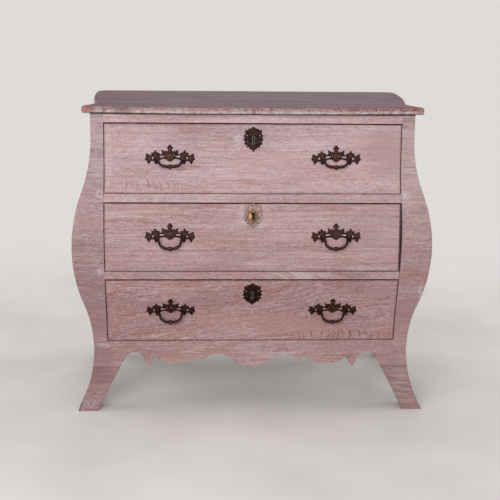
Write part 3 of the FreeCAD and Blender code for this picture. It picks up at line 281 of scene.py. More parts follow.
def limed_oak(name, tone, along="x", seed=0.0, flow=0.004, lines=0.35, warmth=0.4, slope=0.0,
              bite=1.0, bands=0.16, patches=(), outline=None, shade_and_dirt=0.0):
    """Oak with lime in its grain, in one overall tone.

    flow is how far the growth lines wander (metres), lines how strong they are, slope how
    much they climb; bite is how strong the specks are and bands the long stripes; patches are
    places on the front, laid on in turn; outline is the half width, foot and head of a drawer
    front, for the grime and painted shade along its edges; shade_and_dirt is how dark the eased
    arrises are, dirt on most pieces and painted shade on drawer fronts. Faces in the gaps are
    painted black near the front: painted shade.
    """
    paint = Paint(name, specular=0.2)
    tint = tints_of(tone)
    run, rise, through = (paint.axes[axis] for axis in GRAIN[along])
    level = rise + through * 0.1

    def field(place, length, width, shift=0.0, detail=2.0, roughness=0.5):
        return paint.noise((length, width, width * 0.3), detail, roughness, place,
                           (seed + shift, seed * 1.7 + shift, seed * 2.3))

    def wave(pitch):
        return paint.math("SINE", across * (2 * math.pi / pitch))

    straight = paint.vector(run, level, through)
    wander = field(straight, 2.4, 5.5) - 0.5
    waver = field(straight, 10.0, 50.0, 3.0) - 0.5
    across = level + wander * (flow * 2) + waver * 0.007 - run * slope
    grain = paint.vector(run, across, through)

    cloud = field(straight, 3.6, 10.0, detail=4.0, roughness=0.6)
    drift = field(grain, 6.0, 24.0, 5.0, detail=3.0, roughness=0.6)
    mottle = field(grain, 70.0, 330.0, 7.0, detail=3.0, roughness=0.65)
    speck = field(grain, 170.0, 430.0, 9.0)
    streak = field(grain, 22.0, 270.0, 11.0, detail=3.0)
    dash = field(grain, 42.0, 220.0, 13.0)
    band = field(grain, 2.6, 105.0, 15.0)

    base = paint.blend(paint.step(cloud, 0.34, 0.66), tint["deep"], tint["pale"])
    base = paint.layers(
        base, tint,
        (band, 0.50, 0.66, bands, "lime"), (band, 0.50, 0.34, bands, "umber"),
        (drift, 0.50, 0.66, warmth, "warm"), (drift, 0.48, 0.34, 0.5, "cool"),
        (streak, 0.54, 0.66, 0.30 * bite, "lime"), (streak, 0.46, 0.35, 0.26 * bite, "rust"))
    broad = paint.step(wave(LINE_PITCH), 0.30, 0.95) * paint.step(dash, 0.44, 0.58)
    base = paint.blend(broad * lines, base, tint["rust"])
    fine = paint.step(wave(HAIR_PITCH), 0.10, 0.95) * paint.step(dash, 0.58, 0.40)
    base = paint.blend(fine * (lines * 0.6), base, tint["umber"])
    base = paint.layers(
        base, tint,
        (mottle, 0.46, 0.32, 0.38 * bite, "umber"), (mottle, 0.54, 0.68, 0.34 * bite, "lime"),
        (speck, 0.58, 0.68, 0.42 * bite, "lime"), (speck, 0.42, 0.32, 0.42 * bite, "umber"))

    for kind, x, z, half_x, half_z, strength in patches:
        inside = paint.spot(("x", x, half_x), ("z", z, half_z), 0.7)
        if kind == "rays":
            texture = ray_strokes(paint, z)
        elif kind in ("dust", "shade_and_dirt"):
            texture = paint.step(mottle, 0.30, 0.60, 0.6, 1.0)
        elif kind == "flecks":
            texture = paint.step(field(grain, 130.0, 260.0, x * 40), 0.44, 0.56)
        else:
            texture = paint.step(field(grain, 20.0, 150.0, x * 40), 0.42, 0.60, 0.12, 1.0)
        base = paint.blend(inside * texture * strength, base, tint[kind])

    worn = paint.step(paint.noise(45.0), 0.35, 0.6, 0.6, 1.0)
    if outline:
        half, low, high = outline
        height = paint.axes["z"]
        nearest = half - paint.math("ABSOLUTE", paint.axes["x"])
        for away in (height - low, high - height):
            nearest = paint.math("MINIMUM", nearest, away)
        # grime and painted shade: a darker band along a drawer front's edges, beside the gaps
        grime = paint.step(nearest, *EDGE_SHADE_AND_GRIME) * paint.step(dash, 0.35, 0.6, 0.2, 0.6)
        base = paint.blend(grime, base, tint["umber"])
        # on drawer fronts the darkened arris is full along the top edge, in the shade of the rail
        worn = worn * paint.step(height, high - 0.004, high - 0.001, 0.5, 1.0)
    # eased arrises darkened: dirt, and on drawer fronts painted shade that widens the gap lines
    base = paint.blend(paint.attribute("arris") * worn * shade_and_dirt, base, SHADE_AND_DIRT)
    gap = paint.attribute("gap")
    base = paint.blend(gap, base, paint.blend(paint.step(streak, 0.35, 0.62), BARE_DARK, BARE_PALE))
    # faces in a gap painted black near the front: painted shade
    gap_shade = paint.step(paint.attribute("depth"), GAP_SHADE_FROM, GAP_SHADE_TO, 1.0, 0.0)
    base = paint.blend(gap * gap_shade, base, SHADE_AND_DIRT)
    return paint.finish(base, paint.step(streak, 0.3, 0.7, 0.58, 0.78), streak + (speck + mottle) * 0.6,
                        depth=0.0004, strength=0.4)


def ray_strokes(paint, middle):
    """Upright, unevenly leaning strokes where the saw crossed the medullary rays."""
    rise = paint.axes["z"] - middle
    tilt = paint.noise((24.0, 2.0, 2.0), 1.0) - 0.5
    lean = rise * (rise * RAY_BOW + tilt * RAY_LEAN)
    uneven = paint.noise((34.0, 5.0, 8.0), 1.0) * RAY_SHIFT
    wave = paint.math("SINE", (paint.axes["x"] + lean + uneven) * (2 * math.pi / RAY_PITCH))
    lengths = paint.noise((60.0, 20.0, 34.0), 1.0)
    return paint.step(wave, 0.45, 0.90) * paint.step(lengths, 0.42, 0.50)


BOARD_MARKS = (  # x, y, half length of a mark on the board's edge, strength, tint
    (-0.417, -0.212, 0.016, 0.9, "ear"), (0.415, -0.212, 0.018, 0.5, "ear"),
    (-0.330, -0.255, 0.034, 0.5, "umber"), (-0.376, -0.255, 0.005, 0.9, "umber"),
    (0.378, -0.255, 0.005, 0.8, "umber"), (0.0, -0.255, 0.005, 0.5, "umber"),
)
MARK_DEPTH = 0.07  # reach of a mark from front to back, metres


def board_oak(name, face, edge, seed):
    """The top board: a grey face painted darker as shade, and a pinker moulded edge with lime in its
    hollow, painted black at its foot as shadow.
    """
    paint = Paint(name, specular=0.05)
    place = paint.vector(paint.axes["x"], paint.axes["y"], paint.axes["z"] * 0.5)

    def field(length, width, shift, detail=3.0):
        return paint.noise((length, width, width), detail, 0.6, place, (seed, shift, shift))

    streak = field(9.0, 200.0, 1.0)
    fine = field(60.0, 480.0, 2.0, 2.0)
    cloud = field(3.0, 12.0, 3.0)
    mottle = paint.noise(70.0, 4.0, 0.65)
    speck = paint.noise(240.0)
    above = tints_of(face)
    around = tints_of(edge)
    top = paint.blend(paint.step(cloud, 0.34, 0.66), above["deep"], above["pale"])
    top = paint.layers(top, above, (cloud, 0.50, 0.62, 0.5, "warm"), (streak, 0.54, 0.66, 0.55, "lime"),
                       (streak, 0.46, 0.32, 0.50, "umber"))
    side = paint.blend(paint.step(mottle, 0.36, 0.60), around["deep"], around["pale"])
    side = paint.layers(side, around, (mottle, 0.46, 0.34, 0.7, "rust"), (cloud, 0.50, 0.62, 0.7, "rust"))
    low, high = (corner.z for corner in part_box("top_board"))
    share = (paint.axes["z"] - low) / (high - low)
    hollow = paint.step(share, 0.56, 0.34) * paint.step(share, 0.03, 0.12)
    side = paint.blend(hollow * paint.step(mottle, 0.34, 0.54, 0.35, 1.0), side, around["lime"])
    side = paint.layers(side, around, (speck, 0.54, 0.62, 0.7, "lime"), (speck, 0.44, 0.36, 0.5, "umber"))
    patchy = paint.step(mottle, 0.36, 0.54, 0.3, 1.0)
    for x, y, reach, strength, color in BOARD_MARKS:
        inside = paint.spot(("x", x, reach), ("y", y, MARK_DEPTH), 0.6)
        side = paint.blend(inside * patchy * strength, side, around[color])
    # the foot of the edge and the underside painted black: painted shadow under the board's edge
    side = paint.blend(paint.step(share, 0.10, 0.02), side, SHADE_AND_DIRT)
    # faces that look up take the darker face tints: painted shade on the top
    upward = paint.split(paint.coordinates["Normal"])[2]
    base = paint.blend(paint.step(upward, 0.55, 0.92), side, top)
    base = paint.layers(base, above, (fine, 0.56, 0.66, 0.40, "lime"), (fine, 0.42, 0.32, 0.35, "umber"))
    return paint.finish(base, paint.step(streak, 0.3, 0.7, 0.7, 0.9), streak + fine,
                        depth=0.0004, strength=0.4)


def plain_oak(name, along, seed):
    """Bare old oak inside the case and of the drawer boxes."""
    paint = Paint(name)

    def field(run, across, detail, roughness=0.5):
        scale = tuple(run if axis == along else across for axis in "xyz")
        return paint.noise(scale, detail, roughness, shift=(seed, seed * 2, seed * 3))

    streak = field(5.0, 240.0, 4.0, 0.6)
    base = paint.blend(paint.step(field(1.5, 40.0, 3.0), 0.32, 0.68), INSIDE["dark"], INSIDE["light"])
    base = paint.layers(base, INSIDE, (streak, 0.52, 0.36, 0.5, "streak"),
                        (field(34.0, 700.0, 2.0), 0.42, 0.34, 0.6, "pores"),
                        (paint.noise(7.0, 3.0), 0.48, 0.7, 0.35, "grime"))
    return paint.finish(base, paint.step(streak, 0.3, 0.7, 0.65, 0.85), streak)


def old_metal(name, dark, mid, bright, roughness, metallic, rubbed=0.6, rim=None):
    """Patinated casting: dark in the hollows, rubbed brighter on the relief's high spots.

    rim, if given, is a colour for its outer parts and the height of its middle; with it comes a bright spot
    left of the middle, a painted highlight.
    """
    paint = Paint(name, metallic, specular=0.25)
    mottle = paint.noise(160.0, 4.0, 0.6)
    spots = paint.noise(520.0, 3.0)
    relief = paint.attribute("relief")
    share = paint.step(mottle, 0.34, 0.60) * paint.step(relief, 0.0, 0.5, 0.35, 1.0)
    color = paint.blend(share, dark, mid)
    share = paint.step(relief, 0.50, 1.0) * paint.step(mottle, 0.3, 0.62, 0.3 * rubbed, rubbed)
    color = paint.blend(share, color, bright)
    if rim:
        tint, middle = rim
        outer = 1.0 - paint.spot(("x", -0.001, 0.015), ("z", middle, 0.019), 0.4)
        color = paint.blend(outer * paint.step(spots, 0.46, 0.56), color, tint)
        color = paint.blend(outer * paint.step(spots, 0.46, 0.40, 0.0, 0.7), color, dark)
        # painted highlight: a bright spot left of the keyhole
        worn = paint.spot(("x", -0.008, 0.004), ("z", middle, 0.008), 0.7)
        color = paint.blend(worn * 0.9, color, bright)
    rough = paint.step(mottle, 0.3, 0.7, roughness - 0.1, roughness + 0.15)
    return paint.finish(color, rough, mottle * 2.0 + spots, depth=0.00025, strength=0.5)


def middle_height(node):
    low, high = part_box(node)
    return (low.z + high.z) / 2


BRONZE = old_metal("dark_bronze", srgb(20, 7, 5), srgb(48, 22, 17), srgb(132, 82, 58), roughness=0.42,
                   metallic=0.35, rubbed=0.36)
BRASS = old_metal("worn_brass", srgb(66, 46, 38), srgb(142, 108, 84), srgb(198, 156, 108),
                  roughness=0.5, metallic=0.3, rubbed=0.5,
                  rim=(srgb(196, 172, 172), middle_height("escutcheon_middle")))
STEEL = old_metal("lock_steel", srgb(30, 26, 25), srgb(64, 58, 56), srgb(120, 114, 112),
                  roughness=0.5, metallic=0.5)
SILVERED = old_metal("silvered_rim", srgb(96, 94, 96), srgb(150, 150, 154), srgb(196, 198, 204),
                     roughness=0.4, metallic=0.3)

# ---- meshes


def add_object(name, data):
    thing = bpy.data.objects.new(name, data)
    bpy.context.scene.collection.objects.link(thing)
    return thing


def add_piece(name, mesh, material, slot, body, *nodes):
    """Show a mesh as a piece of the chest that rides on a body and stands for CAD nodes."""
    piece = add_object(name, mesh)
    mesh.materials.clear()
    mesh.materials.append(material)
    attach(piece, body)
    if nodes:
        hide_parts(*nodes)
    return piece


def mesh_from(name, points, faces):
    mesh = bpy.data.meshes.new(name)
    mesh.from_pydata([tuple(point) for point in points], [], [tuple(face) for face in faces])
    mesh.validate()
    return mesh


def add_field(mesh, name, values):
    """Store a value for each corner of a mesh, for its material."""
    mesh.attributes.new(name, "FLOAT", "POINT").data.foreach_set("value", np.array(values, np.float32))


WOOD_CREASE = math.radians(38)
PLATE_CREASE = math.radians(60)
BAIL_CREASE = math.radians(50)


def smooth(mesh, crease=WOOD_CREASE):
    """Smooth shading everywhere except over edges sharper than crease."""
    shape = bmesh.new()
    shape.from_mesh(mesh)
    for face in shape.faces:
        face.smooth = True
    for edge in shape.edges:
        edge.smooth = len(edge.link_faces) == 2 and edge.calc_face_angle(0) < crease
    shape.to_mesh(mesh)
    shape.free()


SLICE = 0.006  # height of the slices that follow the swelling curve
SNAP = 0.0004  # how near the curve a corner lies that belongs on it
OPENING_REACH = 0.3815  # half width that takes in the drawers and the faces beside them
GAPS_ABOVE = 0.17  # height of the lowest gap round a drawer
FACING = 0.5  # least forward part of the normal of a face that shows from the front
MERGE = 0.02 * MM  # corners nearer than this are one
NEARLY_FLAT = math.radians(0.3)  # faces that meet at less than this are one
SHARP = math.radians(32)  # convex edges sharper than this are eased
BESIDE_GAPS = ("drawer_front", "drawer_rail", "top_rail_front", "stile_front", "front_apron")


def in_gap(face):
    """Whether a face of the front lies in the narrow gap round a drawer."""
    middle = face.calc_center_median()
    return abs(face.normal.y) < FACING and abs(middle.x) < OPENING_REACH and middle.z > GAPS_ABOVE


def follow_curve(mesh):
    """Move the corners that belong to the swelling front or side exactly on to the curve."""
    count = len(mesh.vertices)
    places = np.zeros(count * 3)
    mesh.vertices.foreach_get("co", places)
    places = places.reshape(-1, 3)
    out = proud(places[:, 2])
    front = np.abs(places[:, 1] - (FACE - out)) < SNAP
    places[front, 1] = (FACE - out)[front]
    side = np.abs(np.abs(places[:, 0]) - (HALF_WIDTH + out)) < SNAP
    places[side, 0] = (np.sign(places[:, 0]) * (HALF_WIDTH + out))[side]
    mesh.vertices.foreach_set("co", places.ravel())
    add_field(mesh, "depth", places[:, 1] - FACE + out)


def eased_copy(node, ease):
    """Copy of a CAD node's mesh with eased arrises, sliced to follow the curve smoothly."""
    shape = bmesh.new()
    shape.from_mesh(NODES[node].data)
    bmesh.ops.remove_doubles(shape, verts=shape.verts, dist=MERGE)
    bmesh.ops.dissolve_limit(shape, angle_limit=NEARLY_FLAT, verts=shape.verts, edges=shape.edges)
    arris = shape.faces.layers.float.new("arris")
    sharp = [edge for edge in shape.edges
             if len(edge.link_faces) == 2 and edge.is_convex and edge.calc_face_angle(0) > SHARP]
    strips = bmesh.ops.bevel(shape, geom=sharp, offset=ease, offset_type="OFFSET", segments=2,
                             profile=0.6, affect="EDGES", clamp_overlap=False)
    for face in strips["faces"]:
        face[arris] = 1.0
    gap = shape.faces.layers.float.new("gap")
    if node.startswith(BESIDE_GAPS):
        shape.normal_update()
        for face in shape.faces:
            if in_gap(face) and not face[arris]:
                face[gap] = 1.0
    low, high = (corner.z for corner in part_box(node))
    for index in range(math.ceil(low / SLICE), math.ceil(high / SLICE)):
        bmesh.ops.bisect_plane(shape, geom=shape.verts[:] + shape.edges[:] + shape.faces[:],
                               plane_co=(0, 0, index * SLICE), plane_no=(0, 0, 1), dist=MERGE / 2)
    mesh = bpy.data.meshes.new(node)
    shape.to_mesh(mesh)
    shape.free()
    follow_curve(mesh)
    smooth(mesh)
    return mesh


def wooden(node, material, ease=1.1 * MM, body="case"):
    piece = add_piece("oak_" + node, eased_copy(node, ease), material, "limed_oak", body, node)
    even = piece.modifiers.new("even_shading", "WEIGHTED_NORMAL")
    even.keep_sharp = True


# ---- castings

GRID = 0.55  # mm, fineness of the cast relief
EDGE = 1.5  # mm, thickness of a casting at its edge
RIM = 0.55  # thickness at the very rim over that at the edge
ROUNDING = 1.1  # mm, over which the rim rounds off
CHASING = 0.10  # mm, depth of the tool marks
TALLEST = 2.6  # mm, relief over the edge that is rubbed all bright
SEAT = 0.4  # mm, wood to the back of a casting
KEY_ROOM = 0.2  # mm, keyhole to the metal round it
FAR_OUT = -1e3  # mm, inside nothing
KEY_RADIUS, KEY_SLOT, KEY_ABOVE, KEY_BELOW = 3.0, 3.0, 5.0, 9.0  # mm

Stroke = namedtuple("Stroke", "knots height vein")  # knots: x, z and half width, in mm
Hole = namedtuple("Hole", "x z half_x half_z")


def leaf(height, *knots, vein=0.5):
    return Stroke(knots, height, vein)


def scroll(*points, half_width=1.8, height=2.8):
    return Stroke([(x, z, half_width) for x, z in points], height, 0.0)


def ring(x, z, radius, half_width, height, stretch=1.0, steps=24):
    turns = np.linspace(0, 2 * math.pi, steps + 1)
    return scroll(*((x + radius * math.cos(turn), z + stretch * radius * math.sin(turn)) for turn in turns),
                  half_width=half_width, height=height)


def both_ways(strokes):
    """The strokes, and those beside the middle once more on the other side."""
    whole = list(strokes)
    for stroke in strokes:
        if any(abs(x) > 0.1 for x, _, _ in stroke.knots):
            whole.append(stroke._replace(knots=[(-x, z, width) for x, z, width in stroke.knots]))
    return whole


def both_holes(holes):
    return list(holes) + [hole._replace(x=-hole.x) for hole in holes if hole.x]


PULL_STROKES = both_ways([
    leaf(3.6, (0, 24, 6.0), (0, 30, 4.4), (0, 35.5, 5.2), (0, 40.5, 1.2)),
    leaf(3.0, (0, 31, 3.2), (3.6, 33, 3.0), (6.8, 33.6, 1.4)),
    leaf(4.6, (0, 28, 3.2), (0, 20, 5.4), (0, 11, 5.4), (0, 4, 3.0), (0, 0.5, 0.8)),
    leaf(4.2, (2.5, 3, 3.8), (6.6, 11, 5.2), (9.2, 19, 4.2), (9.8, 26, 0.8)),
    leaf(3.8, (6, 11, 4.6), (12.5, 18.5, 4.2), (17, 23.6, 3.2), (20.6, 27.8, 1.0)),
    leaf(3.6, (7, 9, 4.2), (12, 13.5, 3.2), (15.6, 18.6, 0.8)),
    scroll((10, 15.2), (18, 15.6), (28, 15.2), half_width=2.1),
    leaf(2.8, (17, 15.6, 2.2), (18.6, 18.4, 1.9), (20.6, 20.2, 0.8)),
    leaf(4.0, (36.4, 12, 5.2), (37, 19, 5.2), (37.6, 27, 1.0)),
    leaf(3.6, (36, 14, 4.8), (31.5, 17.6, 4.0), (26.8, 19.8, 1.0)),
    leaf(3.6, (37, 14, 4.8), (42.6, 17.6, 4.0), (47, 19.6, 1.0)),
    ring(33.4, 7.6, 5.6, 2.7, 3.4),
    leaf(3.0, (34, 0, 6.4), (34, 0.1, 6.4), vein=0),
    leaf(3.2, (31, 3, 4.8), (35, -3.5, 4.0), (38, -7.5, 0.8)),
    scroll((38, 13), (45, 13.4), (52, 10.5), half_width=2.4),
    scroll((37.5, 3), (45, 2.0), (52, 4.6), half_width=2.4),
    leaf(3.8, (51, 8, 5.2), (56, 12.4, 5.2), (60, 18, 1.2)),
    leaf(3.8, (51, 8, 5.4), (58, 6.2, 5.0), (63.2, 4.4, 1.0)),
    leaf(3.6, (51.5, 7, 5.2), (53.6, 0, 5.0), (54.6, -7, 1.0)),
    scroll((30, 1.5), (25.5, 5.2), (18, 7.8), (11, 7.4), (5, 4.0), (0, 1.0), half_width=2.3),
])
PULL_HOLES = both_holes([Hole(0, 15.5, 1.2, 2.2), Hole(9.4, 14.4, 1.0, 1.8)])

ESCUTCHEON_STROKES = both_ways([
    leaf(1.6, (0, 14, 16.5), (0, 0, 19.2), (0, -11, 13.5), vein=0),
    leaf(3.6, (0, 15, 9.5), (0, 23, 8.6), (0, 29.4, 3.2)),
    leaf(3.2, (6, 17, 5.5), (9.6, 22, 4.4), (11.8, 25.2, 2.4)),
    leaf(3.4, (11, 13, 6.5), (16.2, 18.4, 5.4), (18.8, 22.0, 2.8)),
    leaf(2.8, (14, 7, 6.0), (18.6, 9.2, 4.8), (21.4, 9.6, 3.0)),
    leaf(3.0, (14, 0, 6.4), (19, 0.6, 5.2), (22.2, 0.2, 3.0)),
    leaf(3.0, (13, -7, 6.0), (17.6, -9, 4.8), (20.4, -10.2, 2.6)),
    leaf(3.2, (9.5, -11, 5.2), (12.8, -15.5, 4.0), (14.6, -18.2, 2.0)),
    leaf(3.0, (4, -15, 4.4), (6.2, -20.2, 3.4), (7.4, -23.2, 1.6)),
    leaf(3.6, (0, -14, 6.0), (0, -23, 4.6), (0, -31, 0.6)),
    scroll((8, 17), (12.5, 12), (13.4, 4), (10.6, -3), half_width=1.7, height=3.6),
    scroll((11, -2), (13.6, -8), (11, -14.5), (5, -17), half_width=1.7, height=3.6),
    ring(0, 0.5, 8.6, 1.4, 3.4, stretch=1.5),
])
ESCUTCHEON_HOLES = both_holes([Hole(16.4, 10.4, 1.8, 1.9), Hole(15.4, -4.6, 1.0, 1.5)])


def inside_stroke(x, z, stroke):
    """Two fields over a grid: how far inside a stroke each place is (mm), and its relief."""
    deepest = np.full(x.shape, FAR_OUT)
    relief = np.zeros(x.shape)
    for (x0, z0, w0), (x1, z1, w1) in zip(stroke.knots, stroke.knots[1:]):
        run = max((x1 - x0) ** 2 + (z1 - z0) ** 2, 1e-9)
        along = np.clip(((x - x0) * (x1 - x0) + (z - z0) * (z1 - z0)) / run, 0, 1)
        away = np.hypot(x - x0 - along * (x1 - x0), z - z0 - along * (z1 - z0))
        width = w0 + (w1 - w0) * along
        inside = width - away
        dome = np.sqrt(np.clip(1 - (away / width) ** 2, 0, 1))
        crease = 1 - stroke.vein * np.exp(-(away / (0.20 * width)) ** 2) * (width > 1)
        here = (stroke.height - EDGE) * dome * crease * np.clip(width / 3.0, 0.35, 1)
        nearer = inside > deepest
        relief = np.where(nearer, here, relief)
        deepest = np.maximum(deepest, inside)
    return deepest, relief


def keyhole_distance(x, z):
    """Distance outside the keyhole's outline, in mm: a round hole over a slot."""
    round_part = np.hypot(x, z - KEY_ABOVE) - KEY_RADIUS
    slot_x = np.abs(x) - KEY_SLOT / 2
    slot_z = np.abs(z - (KEY_ABOVE - KEY_BELOW) / 2) - (KEY_ABOVE + KEY_BELOW) / 2
    slot = np.hypot(np.maximum(slot_x, 0), np.maximum(slot_z, 0))
    slot += np.minimum(np.maximum(slot_x, slot_z), 0)
    return np.minimum(round_part, slot)


def casting(strokes, holes, reach, low, high, keyhole=False):
    """Fields of a casting over a grid: x, z, how far inside its outline, thickness over the seat."""
    x, z = np.meshgrid(np.arange(-reach, reach + GRID, GRID), np.arange(low, high + GRID, GRID),
                       indexing="ij")
    inside = np.full(x.shape, FAR_OUT)
    relief = np.zeros(x.shape)
    for stroke in strokes:
        depth, rise = inside_stroke(x, z, stroke)
        inside = np.maximum(inside, depth)
        relief = np.where(depth > 0, np.maximum(relief, rise), relief)
    for hole in holes:
        rim = np.hypot((x - hole.x) / hole.half_x, (z - hole.z) / hole.half_z)
        inside = np.minimum(inside, (rim - 1) * min(hole.half_x, hole.half_z))
    if keyhole:
        inside = np.minimum(inside, keyhole_distance(x, z) - KEY_ROOM)
    chased = CHASING * np.sin(2.3 * x + 0.7 * z) * np.sin(1.9 * z - 0.4 * x)
    rounding = np.sqrt(np.clip(inside / ROUNDING, 0, 1))
    thickness = EDGE * (RIM + (1 - RIM) * rounding) + (relief + chased) * rounding
    return x, z, inside, thickness


def cast_mesh(name, fields, centres, pivot_height):
    """Closed mesh of a casting, once for each centre, bent to the drawer front."""
    x, z, inside, thickness = fields
    points = []
    numbers = {}

    def number_of(key, point):
        """Number of a corner, which is added when it is first met."""
        if key not in numbers:
            numbers[key] = len(points)
            points.append(point)
        return numbers[key]

    def crossing(a, b):
        share = inside[a] / (inside[a] - inside[b])
        point = (x[a] + share * (x[b] - x[a]), z[a] + share * (z[b] - z[a]), EDGE * RIM)
        return number_of((min(a, b), max(a, b)), point)

    faces = []
    metal = inside > 0
    for i, j in np.argwhere(metal[:-1, :-1] | metal[1:, :-1] | metal[:-1, 1:] | metal[1:, 1:]):
        cycle = [(i, j), (i + 1, j), (i + 1, j + 1), (i, j + 1)]
        outline = []
        for here, there in zip(cycle, cycle[1:] + cycle[:1]):
            if metal[here]:
                outline.append(number_of(here, (x[here], z[here], thickness[here])))
            if metal[here] != metal[there]:
                outline.append(crossing(here, there))
        if len(outline) > 2:
            faces.append(outline)
    sides = dict.fromkeys(side for face in faces for side in zip(face, face[1:] + face[:1]))
    rim = [side for side in sides if side[::-1] not in sides]
    count = len(points)
    shape = np.array(points)
    closed = faces + [[number + count for number in reversed(face)] for face in faces]
    closed += [[end, start, start + count, end + count] for start, end in rim]
    whole = []
    all_faces = []
    lift = []
    for centre in centres:
        first = len(whole)
        for back in (False, True):
            out = np.zeros(count) if back else shape[:, 2]
            height = pivot_height + shape[:, 1] * MM
            y = front_at(height) - (SEAT + out) * MM
            whole += list(zip(centre + shape[:, 0] * MM, y, height))
            lift += list(np.clip((out - EDGE) / TALLEST, 0, 1))
        all_faces += [[number + first for number in face] for face in closed]
    mesh = mesh_from(name, whole, all_faces)
    add_field(mesh, "relief", lift)
    smooth(mesh, PLATE_CREASE)
    return mesh


# ---- swept metal


def curve_through(points, count=6):
    """Smooth line through points of any dimension, count steps to a span (Catmull-Rom)."""
    points = np.array(points, float)
    padded = np.vstack([2 * points[0] - points[1], points, 2 * points[-1] - points[-2]])
    line = []
    for a, b, c, d in zip(padded, padded[1:], padded[2:], padded[3:]):
        for t in np.arange(count) / count:
            line.append(0.5 * (2 * b + (c - a) * t + (2 * a - 5 * b + 4 * c - d) * t ** 2
                               + (3 * b - a - 3 * c + d) * t ** 3))
    line.append(points[-1])
    return np.array(line)


CAST_DEPTH = 0.85  # depth of cast bails and rims over their width
KNOB_DEPTH = 0.70  # the same for a bail's knob, which swings against the wood


def swept(line, closed=False, sides=14, flatness=CAST_DEPTH):
    """Tube about a line of (x, z, radius) in the plane of the front, as points and faces."""
    line = np.array(line, float)
    if closed:
        ahead = np.roll(line, -1, axis=0)
        behind = np.roll(line, 1, axis=0)
    else:
        ahead = np.vstack([line[1:], line[-1]])
        behind = np.vstack([line[:1], line[:-1]])
    way = ahead[:, :2] - behind[:, :2]
    way /= np.maximum(np.hypot(way[:, 0], way[:, 1]), 1e-9)[:, None]
    points = []
    for (x, z, radius), (run, rise) in zip(line, way):
        for turn in np.linspace(0, 2 * math.pi, sides, endpoint=False):
            across = radius * math.cos(turn)
            depth = radius * flatness * math.sin(turn)
            points.append((x - rise * across, depth, z + run * across))
    faces = []
    count = len(line)
    for ring_index in range(count if closed else count - 1):
        for side in range(sides):
            here = ring_index * sides
            there = (ring_index + 1) % count * sides
            after = (side + 1) % sides
            faces.append((here + side, here + after, there + after, there + side))
    if not closed:
        faces.append(tuple(range(sides - 1, -1, -1)))
        faces.append(tuple((count - 1) * sides + side for side in range(sides)))
    return np.array(points), faces


POST_SPREAD = 34.0  # mm, middle of a pull to a post
BAIL_ROD = 2.4  # mm
BAIL_ARM = 27.4  # mm, middle of a pull to a bail's arm
BAIL_DROPS = {"top": 12.8, "middle": 22.5, "bottom": 22.5}  # mm, pivot to the bottom of the bail


def bail_line(drop):
    """Half of a bail from its pin to its knob: x, z, radius in mm about the pivot."""
    knots = [
        (POST_SPREAD + 3, 0, BAIL_ROD * 0.86), (POST_SPREAD - 4, 0, BAIL_ROD * 0.9),
        (BAIL_ARM + 1.2, -0.6, BAIL_ROD), (BAIL_ARM + 0.3, -3.4, BAIL_ROD * 1.15),
        (BAIL_ARM, -drop * 0.34, BAIL_ROD * 1.2),
        (BAIL_ARM - 3.6, -drop * 0.66, BAIL_ROD * 1.3),
        (BAIL_ARM - 10.2, -drop * 0.88, BAIL_ROD * 1.65),
        (13.0, -drop * 0.96, BAIL_ROD * 1.7), (10.4, -drop, BAIL_ROD * 1.2),
    ]
    return curve_through(knots)


def knob_line(drop):
    """Collars and the lozenge knob in the middle of a bail, from side to side."""
    knots = [
        (11.4, 2.5), (11.0, 3.7), (10.2, 3.8), (9.6, 2.8), (8.8, 2.9), (7.6, 3.6), (6.4, 3.7),
        (5.7, 2.9), (5.2, 3.0), (4.4, 4.2), (3.0, 4.9), (1.4, 5.3), (0, 5.4),
    ]
    knots += [(-x, radius) for x, radius in reversed(knots[:-1])]
    return [(x, -drop, radius) for x, radius in knots]


def finial_line(drop):
    """Point under the knob."""
    knots = [(0.0, 3.8), (3.4, 3.7), (5.2, 2.8), (6.6, 1.5), (7.6, 0.5)]
    return [(0, -drop - down, radius) for down, radius in knots]


def bail_mesh(name, centre_x, pivot_y, pivot_z, drop):
    half = bail_line(drop)
    other = half[::-1] * np.array([-1, 1, 1])
    points = []
    faces = []
    for line, flatness in ((half, CAST_DEPTH), (other, CAST_DEPTH),
                           (knob_line(drop), KNOB_DEPTH), (finial_line(drop), KNOB_DEPTH)):
        ring_points, ring_faces = swept(line, flatness=flatness)
        faces += [tuple(number + len(points) for number in face) for face in ring_faces]
        points += list(ring_points)
    points = np.array(points) * MM + (centre_x, pivot_y, pivot_z)
    mesh = mesh_from(name, points, faces)
    add_field(mesh, "relief", np.clip((pivot_y - points[:, 1]) / (BAIL_ROD * MM * 1.6), 0, 1))
    smooth(mesh, BAIL_CREASE)
    return mesh


BEAD = 0.95  # mm, half the width of the bead round a keyhole
BEAD_AWAY = 0.9  # mm, keyhole to the middle of the bead
BEAD_OUT = 2.6  # mm, back of the escutcheon to the middle of the bead


def liner_mesh(name, key_height):
    """Rim of the keyhole: a fine bead around its outline."""
    half = KEY_SLOT / 2 + BEAD_AWAY
    radius = KEY_RADIUS + BEAD_AWAY
    start = -math.acos(half / radius)
    outline = [(radius * math.cos(turn), KEY_ABOVE + radius * math.sin(turn), BEAD)
               for turn in np.linspace(start, math.pi - start, 22)]
    foot = [(half, -4, BEAD), (half + 0.7, -KEY_BELOW, BEAD), (half - 0.6, -KEY_BELOW - 1.2, BEAD)]
    outline += [(-x, z, width) for x, z, width in foot] + foot[::-1]
    points, faces = swept(outline, closed=True, sides=10)
    height = key_height + points[:, 2] * MM
    y = front_at(height) - (SEAT + BEAD_OUT - points[:, 1]) * MM
    mesh = mesh_from(name, np.column_stack([points[:, 0] * MM, y, height]), faces)
    smooth(mesh)
    return mesh


# ---- the chest

